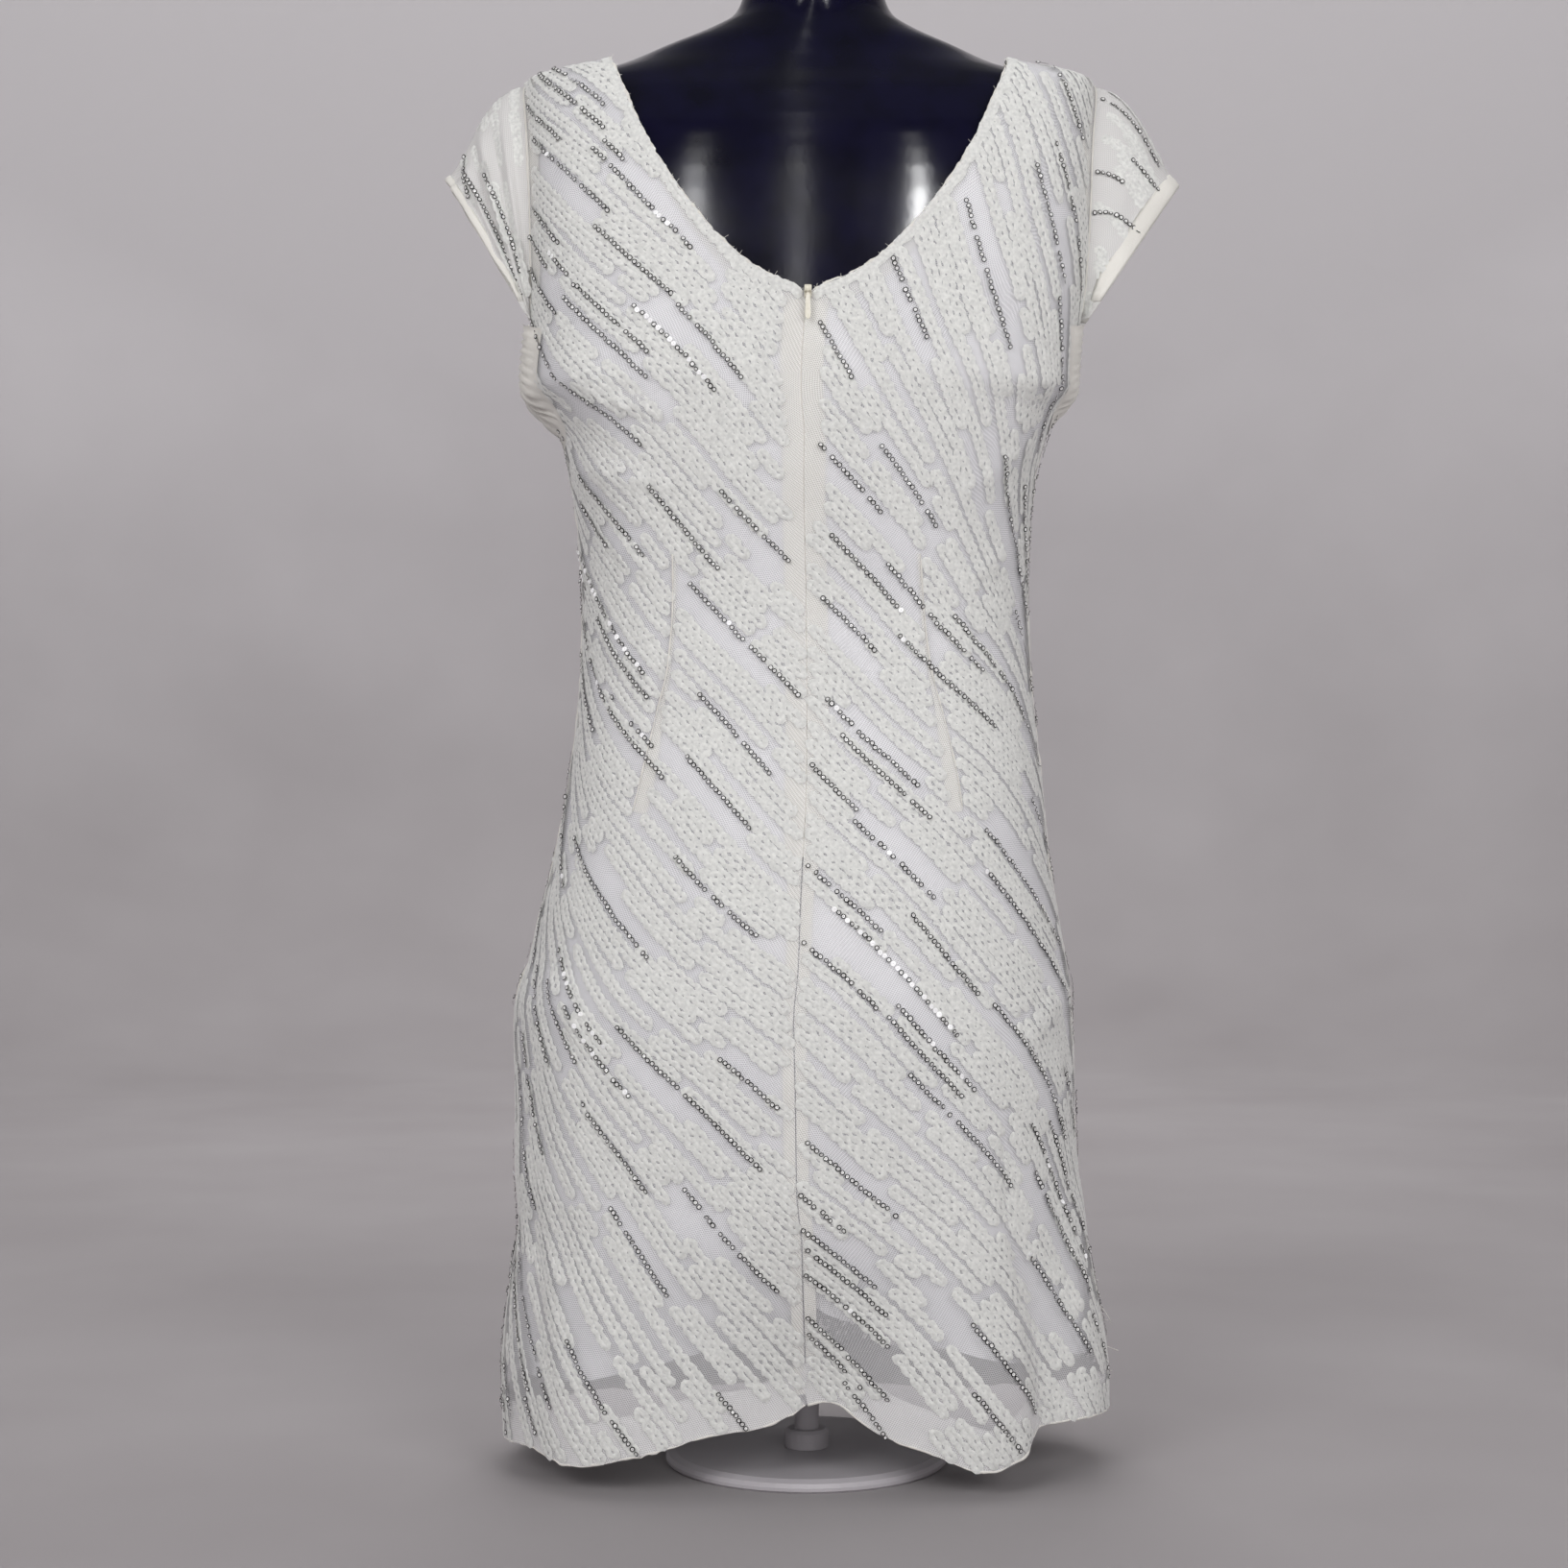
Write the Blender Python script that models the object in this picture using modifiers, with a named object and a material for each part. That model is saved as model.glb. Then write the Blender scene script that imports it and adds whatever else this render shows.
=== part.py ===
"""A lined cocktail dress with cap sleeves, worn by a plain limbless torso form on a low stand.

Metres, +Z up. The origin is on the floor, under the middle of the stand. The back of the dress,
with its zip, faces -Y, and the wearer's right is +X. Sizes below are in millimetres.

Every layer of cloth is made from one surface, body_surface(angle, height), moved in or out.
Its angle runs round the body: -90 is the centre back, 0 the right side seam, 90 the centre
front and 180 the left side seam.
"""

import math
from collections import namedtuple

import bmesh
import bpy
import numpy as np

MM = 0.001
COLLECTION = "cocktail_dress_on_form"

# Heights of the cut.
YOKE_START = 655.0
UNDERARM = 690.0
SHOULDER_END = 897.0
HIGH_SHOULDER = 912.0
BACK_NECK = 752.0
FRONT_NECK = 812.0
NECK_HALF_WIDTH = 129.0
ZIP_END = 396.0

# The armhole is an ellipse in side view.
ARMHOLE_BACK = 36.0
ARMHOLE_FRONT = 44.0
SLEEVE_START = 739.0

# Cloth: thickness of each wall and the clear space between layers.
SHELL_WALL = 1.4
LINING_WALL = 1.0
LAYER_GAP = 0.6
SEAM_GAP = 0.3
BAND_WALL = 1.0
BAND_LIFT = 0.6
SLEEVE_BAND = 12.0
BINDING_WIDTH = 9.0
BINDING_LIFT = 1.3
LINING_FLARE_IN = 5.0
LINING_FLARE_START = 80.0
LINING_FLARE_STOP = 170.0
ZIP_TAPE_HALF = 6.0
ZIP_LINE_GAP = 0.6
ZIP_TAPE_CLEAR = 0.8
ZIP_SEAM_CLOSES = 34.0
FRONT_NECK_ROUNDING = 0.9

# Form and stand.
FORM_BOTTOM = 176.0
FORM_EDGE_ROUND = 12.0
FORM_EDGE_STEP = 3.5
FORM_TOP = 992.0
FORM_LEVELS = [655, 672, 690, 704, 730, 765, 800, 835, 865, 885, 894, 899, 905, 912, 920, 930, 942, 958]
NECK_CAP_RADIUS = 45.0
POLE_RADIUS = 8.0
SOCKET_RADIUS = 14.0
SOCKET_DEPTH = 26.0
SOCKET_BORE = 8.0
FLANGE_RADIUS = 42.0
FLANGE_THICK = 4.0
FLANGE_FILLET = 2.0
COLLAR_WALL = 6.0
COLLAR_HEIGHT = 12.0
COLLAR_EDGE = 2.0
POLE_EDGE = 1.0
BASE_RADIUS = 92.0
BASE_THICK = 8.0
TOUCH = 0.3

# Outlines of the neck cap and of the base: how far in from the rim, and how high.
Outline = namedtuple("Outline", "inset height")
NECK_CAP_OUTLINE = [Outline(14, 8.4), Outline(3, 6), Outline(0, 3), Outline(0, 0)]
NECK_CAP_HEIGHT = 9.0
BASE_OUTLINE = [Outline(6, BASE_THICK), Outline(1.5, 6), Outline(0, 3.5), Outline(0, 1.5), Outline(1.5, 0)]

# Mesh density.
HALF_COLUMNS = 10
SEAM_ROWS = 2
BINDING_ROWS = 3
SLEEVE_HALF_COLUMNS = 8
BEND_WEIGHT = 0.7
YOKE_ROWS = SEAM_ROWS + BINDING_ROWS + SLEEVE_HALF_COLUMNS

# The outside of the dress, from hem to neck, and the form inside it. "back" and "front" are
# depths from the pole, the "square" columns widen the quarter between two axes, and "ease" is
# the air between the lining and the form.
Section = namedtuple(
    "Section", "height half_width shift back front back_square front_square ease"
)
SECTIONS = [
    Section(0, 197.0, 0.0, 112, 117, 0.10, 0.10, 2.0),
    Section(60, 197.0, -1.0, 115, 119, 0.10, 0.10, 2.0),
    Section(125, 189.0, -3.0, 118, 118, 0.10, 0.10, 2.0),
    Section(160, 183.0, -4.0, 120, 117, 0.10, 0.10, 2.0),
    Section(190, 182.0, -7.0, 121, 116, 0.10, 0.10, 2.0),
    Section(255, 182.0, -8.0, 123, 114, 0.10, 0.10, 2.0),
    Section(295, 181.5, -9.0, 122, 114, 0.10, 0.10, 2.0),
    Section(330, 174.0, -6.0, 118, 114, 0.10, 0.10, 2.0),
    Section(360, 168.0, -5.0, 114, 114, 0.10, 0.10, 2.2),
    Section(390, 161.5, -3.5, 109, 113, 0.10, 0.10, 2.5),
    Section(440, 154.5, -1.0, 99, 108, 0.10, 0.10, 3.5),
    Section(490, 148.5, -0.5, 89, 103, 0.10, 0.10, 4.0),
    Section(555, 145.0, -1.0, 84, 100, 0.11, 0.11, 4.0),
    Section(600, 146.5, -2.0, 88, 107, 0.12, 0.15, 3.5),
    Section(640, 151.5, -2.5, 93, 124, 0.16, 0.20, 2.5),
    Section(660, 155.5, -2.0, 95, 129, 0.18, 0.22, 2.5),
    Section(680, 164.0, -4.0, 97, 128, 0.20, 0.22, 3.5),
    Section(697, 178.0, -4.0, 98, 123, 0.22, 0.22, 5.0),
    Section(730, 180.0, -2.0, 97, 112, 0.22, 0.22, 5.0),
    Section(765, 183.0, 1.0, 95, 101, 0.22, 0.22, 4.0),
    Section(820, 186.0, 2.0, 91, 87, 0.22, 0.20, 3.0),
    Section(860, 187.0, 2.0, 84, 78, 0.20, 0.18, 3.5),
    Section(885, 187.5, 2.0, 74, 69, 0.18, 0.16, 4.5),
    Section(897, 185.0, 2.0, 66, 63, 0.16, 0.14, 4.5),
    Section(904, 160.0, 1.0, 61, 60, 0.12, 0.12, 3.5),
    Section(912, 129.0, 1.0, 56, 57, 0.08, 0.08, 2.5),
    Section(924, 99.0, 2.0, 51, 54, 0.05, 0.05, 1.5),
    Section(936, 70.0, 3.5, 47, 53, 0.00, 0.00, 1.1),
    Section(944, 56.0, 4.5, 46, 52, 0.00, 0.00, 1.1),
    Section(956, 50.5, 4.5, 46, 51, 0.00, 0.00, 1.1),
    Section(978, 49.0, 4.5, 46, 50, 0.00, 0.00, 1.1),
    Section(1000, 49.0, 4.5, 47, 51, 0.00, 0.00, 1.1),
]

# The hem all round: how high it hangs, how far its folds push the skirt out or in, and where
# the lining's own hem is.
Hem = namedtuple("Hem", "angle shell push lining")
HEM = [
    Hem(-90, 56, -24, 120),
    Hem(-86, 58, -20, 112),
    Hem(-78, 40, -11, 104),
    Hem(-68, 27, 1, 95),
    Hem(-59, 17, 8, 87),
    Hem(-51, 23, 5, 82),
    Hem(-43, 39, -7, 80),
    Hem(-24, 41, 3, 80),
    Hem(0, 36, 0, 82),
    Hem(24, 27, 4, 82),
    Hem(44, 31, -6, 84),
    Hem(64, 22, 6, 82),
    Hem(90, 28, -5, 86),
    Hem(116, 21, 6, 82),
    Hem(138, 28, -5, 82),
    Hem(160, 20, 4, 76),
    Hem(180, 20, 0, 72),
    Hem(200, 22, 3, 68),
    Hem(212, 24, 4, 67),
    Hem(226, 18, 8, 69),
    Hem(242, 27, 2, 80),
    Hem(254, 39, -8, 90),
    Hem(262, 42, -17, 94),
    Hem(267, 49, -22, 100),
]
FOLD_TOP_OUT = 330.0
FOLD_FULL_OUT = 20.0
FOLD_TOP_IN = 188.0
FOLD_FULL_IN = 40.0
FOLD_DEPTH_LEAN = 1.6

# Soft drape folds that run in from under each arm, each a ridge from one point to another.
Fold = namedtuple("Fold", "face side start_x start_z end_x end_z width depth")
FOLDS = [
    Fold(-1, -1, 168, 716, 92, 640, 15, 3.5),
    Fold(-1, -1, 158, 664, 90, 596, 15, 3.0),
    Fold(-1, 1, 170, 704, 112, 634, 15, 2.5),
    Fold(1, -1, 160, 700, 100, 668, 15, 2.5),
    Fold(1, 1, 162, 700, 104, 672, 15, 2.5),
]
FOLD_RISE_SHARE = 0.35
FOLD_FALL_SHARE = 0.45

# Half of the back neckline, from the centre to the shoulder.
NeckPoint = namedtuple("NeckPoint", "breadth height")
BACK_NECKLINE = [
    NeckPoint(2, BACK_NECK),
    NeckPoint(20, 755),
    NeckPoint(38, 765),
    NeckPoint(56, 781),
    NeckPoint(75, 803),
    NeckPoint(92, 827),
    NeckPoint(104, 848),
    NeckPoint(117, 878),
    NeckPoint(124, 896),
    NeckPoint(NECK_HALF_WIDTH, HIGH_SHOULDER),
]

# The tube of the skirt and bodice in rows, each band ending at a height.
RowBand = namedtuple("RowBand", "top rows")
ROW_BANDS = [
    RowBand(160, 4),
    RowBand(330, 3),
    RowBand(ZIP_END, 2),
    RowBand(560, 4),
    RowBand(YOKE_START, 3),
]

# Cap sleeves: where the tip of each hem stands, and how far the cap is rounded up.
Sleeve = namedtuple("Sleeve", "name side tip_x tip_z rise")
SLEEVES = [Sleeve("left", -1, 235, 834, 3.0), Sleeve("right", 1, 243, 831, 5.0)]
SLEEVE_ROWS = 5
SLEEVE_END_LENGTH = 5.0
SLEEVE_DEPTH = 42.0
SLEEVE_CLEAR = 0.6
SLEEVE_LIFT_OUT = 0.6
SLEEVE_LIFT_UP = 0.8
SLEEVE_BAND_SHARE = 0.6

# How much of their last row the tape and the bindings leave bare at their ends.
TAPE_FOOT_TRIM = 0.02
TAPE_HEAD_TRIM = 0.15
BINDING_TRIM = 0.2

# Zip slider and its tab, which hangs from a bar between two ears.
SLIDER_CLEAR = 0.5
SLIDER_WIDTH = 4.6
SLIDER_HEIGHT = 8.0
SLIDER_DEPTH = 2.2
SLIDER_EDGE = 0.6
SLIDER_TOP = BACK_NECK - 2.0
EAR_THICK = 0.8
EAR_RADIUS = 1.1
BAR_RADIUS = 0.45
BAR_OUT = 2.1
TAB_EYE = 0.8
TAB_BARREL = 1.5
TAB_THICK = 0.9

# Outline of the tab: how far below the bar, and how wide there.
TabStep = namedtuple("TabStep", "down width")
TAB_OUTLINE = [
    TabStep(-1.5, 1.2),
    TabStep(0.0, 1.9),
    TabStep(2.2, 1.9),
    TabStep(4.5, 2.8),
    TabStep(9.0, 3.1),
    TabStep(14.0, 3.6),
    TabStep(16.2, 3.2),
    TabStep(17.5, 1.5),
]
TAB_TOP_WIDTH = TAB_OUTLINE[1].width

Finish = namedtuple("Finish", "colour roughness metallic")
FINISHES = {
    "net": Finish((0.78, 0.78, 0.75), 0.75, 0.0),
    "lining": Finish((0.62, 0.61, 0.66), 0.5, 0.0),
    "trim": Finish((0.80, 0.79, 0.72), 0.8, 0.0),
    "tape": Finish((0.78, 0.76, 0.68), 0.85, 0.0),
    "zip": Finish((0.75, 0.73, 0.66), 0.4, 0.0),
    "form": Finish((0.006, 0.005, 0.02), 0.25, 0.0),
    "stand": Finish((0.45, 0.43, 0.45), 0.5, 0.0),
    "steel": Finish((0.6, 0.6, 0.62), 0.25, 1.0),
}


def monotone_cubic(x, y, at):
    """The curve through the points (x, y) that never overshoots them, read at the places at."""
    x, y, at = (np.asarray(v, float) for v in (x, y, at))
    step = np.diff(x)
    slope = np.diff(y) / step
    before, after = slope[:-1], slope[1:]
    turning = before * after <= 0
    safe_before = np.where(turning, 1.0, before)
    safe_after = np.where(turning, 1.0, after)
    weight_a = 2 * step[1:] + step[:-1]
    weight_b = step[1:] + 2 * step[:-1]
    mean = (weight_a + weight_b) / (weight_a / safe_before + weight_b / safe_after)
    tangent = np.concatenate([[slope[0]], np.where(turning, 0.0, mean), [slope[-1]]])
    at = np.clip(at, x[0], x[-1])
    i = np.clip(np.searchsorted(x, at, side="right") - 1, 0, len(step) - 1)
    f = (at - x[i]) / step[i]
    rise = y[i + 1] - y[i]
    bend = f * f * (3 - 2 * f)
    start = f * (1 - f) ** 2
    end = f * f * (f - 1)
    return y[i] + rise * bend + step[i] * (start * tangent[i] + end * tangent[i + 1])


def section_column(name, height):
    heights = [row.height for row in SECTIONS]
    return monotone_cubic(heights, [getattr(row, name) for row in SECTIONS], height)


def hem_column(name, angle):
    """A column of the hem table at any angle, going round without a step."""
    degrees = (np.degrees(angle) + 90) % 360 - 90
    rows = [HEM[-1]._replace(angle=HEM[-1].angle - 360)] + HEM + [HEM[0]._replace(angle=270)]
    return monotone_cubic([r.angle for r in rows], [getattr(r, name) for r in rows], degrees)


def smooth_step(low, high, value):
    f = np.clip((value - low) / (high - low), 0, 1)
    return f * f * (3 - 2 * f)


def body_surface(angle, height):
    """Points of the dress's outside without its folds."""
    angle, height = np.broadcast_arrays(np.asarray(angle, float), np.asarray(height, float))
    c, s = np.cos(angle), np.sin(angle)
    behind = s < 0
    depth = np.where(behind, section_column("back", height), section_column("front", height))
    square = np.where(
        behind, section_column("back_square", height), section_column("front_square", height)
    )
    x = section_column("shift", height) + section_column("half_width", height) * c * (1 + square * s * s)
    y = depth * s * (1 + square * c * c)
    return np.stack([x, y, height], axis=-1)


def skirt_fold(angle, height):
    """How far the folds of the hem push the skirt out or in at a height."""
    push = hem_column("push", angle)
    out = np.maximum(push, 0) * (1 - smooth_step(FOLD_FULL_OUT, FOLD_TOP_OUT, height))
    inward = np.minimum(push, 0) * (1 - smooth_step(FOLD_FULL_IN, FOLD_TOP_IN, height))
    return out + inward


def drape_fold(points):
    """How far the drape folds under the arms raise each point."""
    lift = np.zeros(points.shape[:-1])
    for fold in FOLDS:
        start = np.array([fold.side * fold.start_x, fold.start_z])
        along = np.array([fold.side * fold.end_x, fold.end_z]) - start
        length = np.linalg.norm(along)
        along = along / length
        flat = points[..., [0, 2]] - start
        run = flat @ along / length
        aside = flat @ np.array([-along[1], along[0]])
        ends = smooth_step(0, FOLD_RISE_SHARE, run) * (1 - smooth_step(FOLD_FALL_SHARE, 1, run))
        ridge = fold.depth * np.exp(-((aside / fold.width) ** 2)) * ends
        lift += np.where(points[..., 1] * fold.face > 0, ridge, 0)
    return lift


def cloth_surface(angle, height):
    """Points of the dress's outside with its folds."""
    points = body_surface(angle, height)
    angle = np.broadcast_to(angle, points.shape[:-1])
    out = np.stack([np.cos(angle), FOLD_DEPTH_LEAN * np.sin(angle), 0 * angle], axis=-1)
    out = out / np.linalg.norm(out, axis=-1, keepdims=True)
    push = skirt_fold(angle, points[..., 2]) + drape_fold(points)
    return points + out * push[..., None]


def outward(surface, angle, height):
    """Unit normals of a surface of (angle, height)."""
    turn, rise = 1e-3, 0.4
    round_body = surface(angle + turn, height) - surface(angle - turn, height)
    upward = surface(angle, height + rise) - surface(angle, height - rise)
    normal = np.cross(round_body, upward)
    return normal / np.linalg.norm(normal, axis=-1, keepdims=True)


def moved(surface, angle, height, distance):
    """Points of a surface, moved out along its normals by a distance in millimetres."""
    distance = np.broadcast_to(distance, np.shape(angle))
    return surface(angle, height) + outward(surface, angle, height) * distance[..., None]


# ---- edges of the cut, as (lean, height): lean is 90 degrees at the centre line and 0 at the side


def lean_at(face, height, value, axis):
    """The lean at which the body surface reaches a breadth (axis 0) or a depth (axis 1)."""
    lean = np.linspace(math.pi / 2, 0, 361)
    found = []
    for z, wanted in zip(np.atleast_1d(height), np.atleast_1d(value)):
        points = body_surface(face * lean, np.full(lean.shape, z))
        points[:, 0] -= section_column("shift", z)
        reach = np.abs(points[:, axis])
        order = np.argsort(reach)
        found.append(np.interp(wanted, reach[order], lean[order]))
    return np.array(found)


def seam_lean(height):
    """Half a seam's gap at the side, as a lean."""
    return 0.5 * SEAM_GAP / section_column("back", height)


def armhole_turn(height):
    """The turn round the armhole, from 0 under the arm to pi at the shoulder, at a height."""
    middle = 0.5 * (UNDERARM + SHOULDER_END)
    return math.acos((middle - height) / (0.5 * (SHOULDER_END - UNDERARM)))


def armhole(face, turn):
    """Lean and height of the armhole's edge at a turn."""
    reach = ARMHOLE_BACK if face < 0 else ARMHOLE_FRONT
    middle = 0.5 * (UNDERARM + SHOULDER_END)
    height = middle - 0.5 * (SHOULDER_END - UNDERARM) * np.cos(turn)
    depth = np.maximum(reach * np.sin(turn), 0)
    return np.maximum(lean_at(face, height, depth, 1), seam_lean(height)), height


def side_edge(face):
    """Lean and height of a panel's outer edge: up the side seam, then round the armhole."""
    seam_height = np.linspace(YOKE_START, UNDERARM, SEAM_ROWS + 1)[:-1]
    edge = [np.stack([seam_lean(seam_height), seam_height], -1)]
    start = armhole_turn(SLEEVE_START)
    for first, last, rows in ((0, start, BINDING_ROWS), (start, math.pi, SLEEVE_HALF_COLUMNS)):
        lean, height = armhole(face, np.linspace(first, last, 40))
        lean, height = resampled(lean, height, rows + 1)
        edge.append(np.stack([lean, height], -1)[:-1])
    edge.append(np.array([[seam_lean(SHOULDER_END), SHOULDER_END]]))
    return np.concatenate(edge)


def neckline(face, count):
    """Lean and height of the neckline's edge, from the centre to the shoulder seam."""
    if face < 0:
        breadth = np.array([p.breadth for p in BACK_NECKLINE], float)
        level = np.array([p.height for p in BACK_NECKLINE], float)
    else:
        swing = np.linspace(0, math.pi / 2, 13)
        breadth = NECK_HALF_WIDTH * np.sin(swing) ** FRONT_NECK_ROUNDING
        level = HIGH_SHOULDER - (HIGH_SHOULDER - FRONT_NECK) * np.cos(swing)
    run = np.concatenate([[0], np.cumsum(np.hypot(np.diff(breadth), np.diff(level)))])
    at = np.linspace(0, run[-1], count)
    breadth, level = monotone_cubic(run, breadth, at), monotone_cubic(run, level, at)
    lean = lean_at(face, level, breadth, 0)
    lean[-1] = seam_lean(level[-1])
    return lean, level


def resampled(lean, height, count):
    """An edge read again at even steps of its length on the body."""
    points = body_surface(lean, height)
    run = np.concatenate([[0], np.cumsum(np.linalg.norm(np.diff(points, axis=0), axis=1))])
    at = np.linspace(0, run[-1], count)
    return np.interp(at, run, lean), np.interp(at, run, height)


def centre_edge(face, rows):
    """Lean and height of a panel's inner edge: up the centre line, then along the neckline."""
    neck_lean, neck_height = neckline(face, 40)
    rise = neck_height[0] - YOKE_START
    points = body_surface(neck_lean, neck_height)
    length = np.linalg.norm(np.diff(points, axis=0), axis=1).sum()
    straight = max(2, round(rows * rise / (rise + length)))
    level = np.linspace(YOKE_START, neck_height[0], straight + 1)
    lean = np.full(level.shape, math.pi / 2)
    neck_lean, neck_height = resampled(neck_lean, neck_height, rows - straight + 1)
    return np.concatenate([lean, neck_lean[1:]]), np.concatenate([level, neck_height[1:]])


def yoke(face, columns, rows):
    """A grid of (lean, height) above the tube of the bodice, blended between its four edges."""
    inner = np.stack(centre_edge(face, rows), -1)
    outer = side_edge(face)
    lower_lean = np.interp(columns, [0, 1], [inner[0, 0], outer[0, 0]])
    lower = np.stack([lower_lean, np.full(len(columns), YOKE_START)], -1)
    top_height = np.linspace(inner[-1, 1], outer[-1, 1], len(columns))
    upper = np.stack([seam_lean(top_height), top_height], -1)
    across = columns[None, :, None]
    up = np.linspace(0, 1, rows + 1)[:, None, None]
    sides = (1 - across) * inner[:, None] + across * outer[:, None]
    ends = (1 - up) * lower[None] + up * upper[None]
    corners = (1 - up) * ((1 - across) * lower[0] + across * lower[-1]) + up * (
        (1 - across) * upper[0] + across * upper[-1]
    )
    return sides + ends - corners


def panel_columns(face):
    """Places across half the body, 0 at the centre and 1 at the side, closer where it bends.

    The last column is a binding's width from the side.
    """
    lean = np.linspace(math.pi / 2, 0, 200)
    points = body_surface(face * lean, np.full(lean.shape, SLEEVE_START))[:, :2]
    step = np.diff(points, axis=0)
    length = np.linalg.norm(step, axis=1)
    run = np.concatenate([[0], np.cumsum(length)])
    heading = np.unwrap(np.arctan2(step[:, 1], step[:, 0]))
    bend = np.concatenate([[0], np.cumsum(np.abs(np.diff(heading))), [0]])
    bend[-1] = bend[-2]
    inner_edge = np.interp(run[-1] - BINDING_WIDTH, run, lean)
    measure = run / run[-1] + BEND_WEIGHT * bend / bend[-1]
    edge_measure = np.interp(run[-1] - BINDING_WIDTH, run, measure)
    at = np.interp(np.linspace(0, edge_measure, HALF_COLUMNS), measure, lean)
    at[-1] = inner_edge
    return 1 - np.append(at, 0.0) / (math.pi / 2)


def tube_levels(low):
    """Heights of the rows from a hem at the given heights up to the yoke."""
    levels = []
    for band in ROW_BANDS:
        levels += [low + (band.top - low) * step / band.rows for step in range(band.rows)]
        low = np.full(np.shape(low), float(band.top))
    return levels


def half_panel(face, side, hem, centre_gap):
    """Angles and heights of half a front or back, from hem to shoulder, as a grid."""
    columns = panel_columns(face)
    floor_angle = turned(face, side, (1 - columns) * math.pi / 2)
    rows = []
    for level in tube_levels(hem_column(hem, floor_angle)):
        lean = math.pi / 2 + (seam_lean(level) - math.pi / 2) * columns
        rows.append(np.stack([lean, level], -1))
    grid = np.concatenate([np.array(rows), yoke(face, columns, YOKE_ROWS)])
    lean, height = grid[..., 0], grid[..., 1]
    inner = math.pi / 2 - centre_gap(height[:, 0]) / section_column("half_width", height[:, 0])
    lean[:, 0] = np.minimum(lean[:, 0], inner)
    return turned(face, side, lean), height


def turned(face, side, lean):
    """The angle round the body of a lean on the front or back, on one side."""
    angle = face * lean
    return angle if side > 0 else math.pi - angle


# ---- building


def material(name):
    finish = FINISHES[name]
    made = bpy.data.materials.get(name) or bpy.data.materials.new(name)
    made.use_nodes = True
    shader = made.node_tree.nodes["Principled BSDF"]
    shader.inputs["Base Color"].default_value = (*finish.colour, 1)
    shader.inputs["Roughness"].default_value = finish.roughness
    shader.inputs["Metallic"].default_value = finish.metallic
    made.diffuse_color = (*finish.colour, 1)
    return made


def place(name, mesh, finish):
    """Puts a finished mesh in the dress's collection as a named piece."""
    piece = bpy.data.objects.new(name, mesh)
    bpy.data.collections[COLLECTION].objects.link(piece)
    mesh.materials.clear()
    mesh.materials.append(material(finish))
    mesh.shade_smooth()
    mesh.set_sharp_from_angle(angle=math.radians(40))
    return piece


def wall(name, sheets, finish):
    """A closed wall from sheets of (outer, inner, flip) grids, joined where their points meet."""
    outer, inner, faces, known = [], [], [], {}
    for out_grid, in_grid, flip in sheets:
        rows, columns = out_grid.shape[:2]
        index = np.empty((rows, columns), int)
        for i in range(rows):
            for j in range(columns):
                key = tuple(np.round(out_grid[i, j], 3))
                if key not in known:
                    known[key] = len(outer)
                    outer.append(out_grid[i, j])
                    inner.append(in_grid[i, j])
                index[i, j] = known[key]
        for i in range(rows - 1):
            for j in range(columns - 1):
                a, b = index[i, j], index[i, j + 1]
                c, d = index[i + 1, j + 1], index[i + 1, j]
                faces += [[c, b, a], [d, c, a]] if flip else [[a, b, c], [a, c, d]]
    count = len(outer)
    directed = {(a, b) for face in faces for a, b in zip(face, face[1:] + face[:1])}
    rim = [(a, b) for a, b in directed if (b, a) not in directed]
    backs = [[v + count for v in face[::-1]] for face in faces]
    edges = [[b, a, a + count, b + count] for a, b in sorted(rim)]
    mesh = bpy.data.meshes.new(name)
    mesh.from_pydata(np.array(outer + inner) * MM, [], faces + backs + edges)
    mesh.validate()
    return place(name, mesh, finish)


def layer(name, face, sides, hem, outer, thick, centre_gap, finish):
    """One cut piece of the shell or lining, as a wall on the body surface."""
    sheets = []
    for side in sides:
        angle, height = half_panel(face, side, hem, centre_gap)
        sink = outer
        if hem == "lining":
            flare = 1 - smooth_step(LINING_FLARE_START, LINING_FLARE_STOP, height)
            sink = outer - LINING_FLARE_IN * flare
        out_grid = moved(cloth_surface, angle, height, sink)
        in_grid = moved(cloth_surface, angle, height, sink - thick)
        sheets.append((out_grid, in_grid, face * side > 0))
    return wall(name, sheets, finish)


def no_gap(level):
    """The front panels are cut on the fold, so their halves meet."""
    return np.zeros(np.shape(level))


def zip_gap(level):
    """Half the fine line between the shell's back panels, from neck to hem."""
    return np.full(np.shape(level), 0.5 * ZIP_LINE_GAP)


def make_shell():
    layer("shell_front", 1, (1, -1), "shell", 0.0, SHELL_WALL, no_gap, "net")
    layer("shell_back_left", -1, (-1,), "shell", 0.0, SHELL_WALL, zip_gap, "net")
    layer("shell_back_right", -1, (1,), "shell", 0.0, SHELL_WALL, zip_gap, "net")


def lining_back_gap(level):
    """Half the space between the lining's back panels: open beside the zip, a seam below it."""
    seam, beside_zip = 0.5 * SEAM_GAP, ZIP_TAPE_HALF + ZIP_TAPE_CLEAR
    return seam + (beside_zip - seam) * smooth_step(ZIP_END - ZIP_SEAM_CLOSES, ZIP_END, level)


def make_lining():
    sunk = -(SHELL_WALL + LAYER_GAP)
    layer("lining_front", 1, (1, -1), "lining", sunk, LINING_WALL, no_gap, "lining")
    layer("lining_back_left", -1, (-1,), "lining", sunk, LINING_WALL, lining_back_gap, "lining")
    layer("lining_back_right", -1, (1,), "lining", sunk, LINING_WALL, lining_back_gap, "lining")


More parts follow.
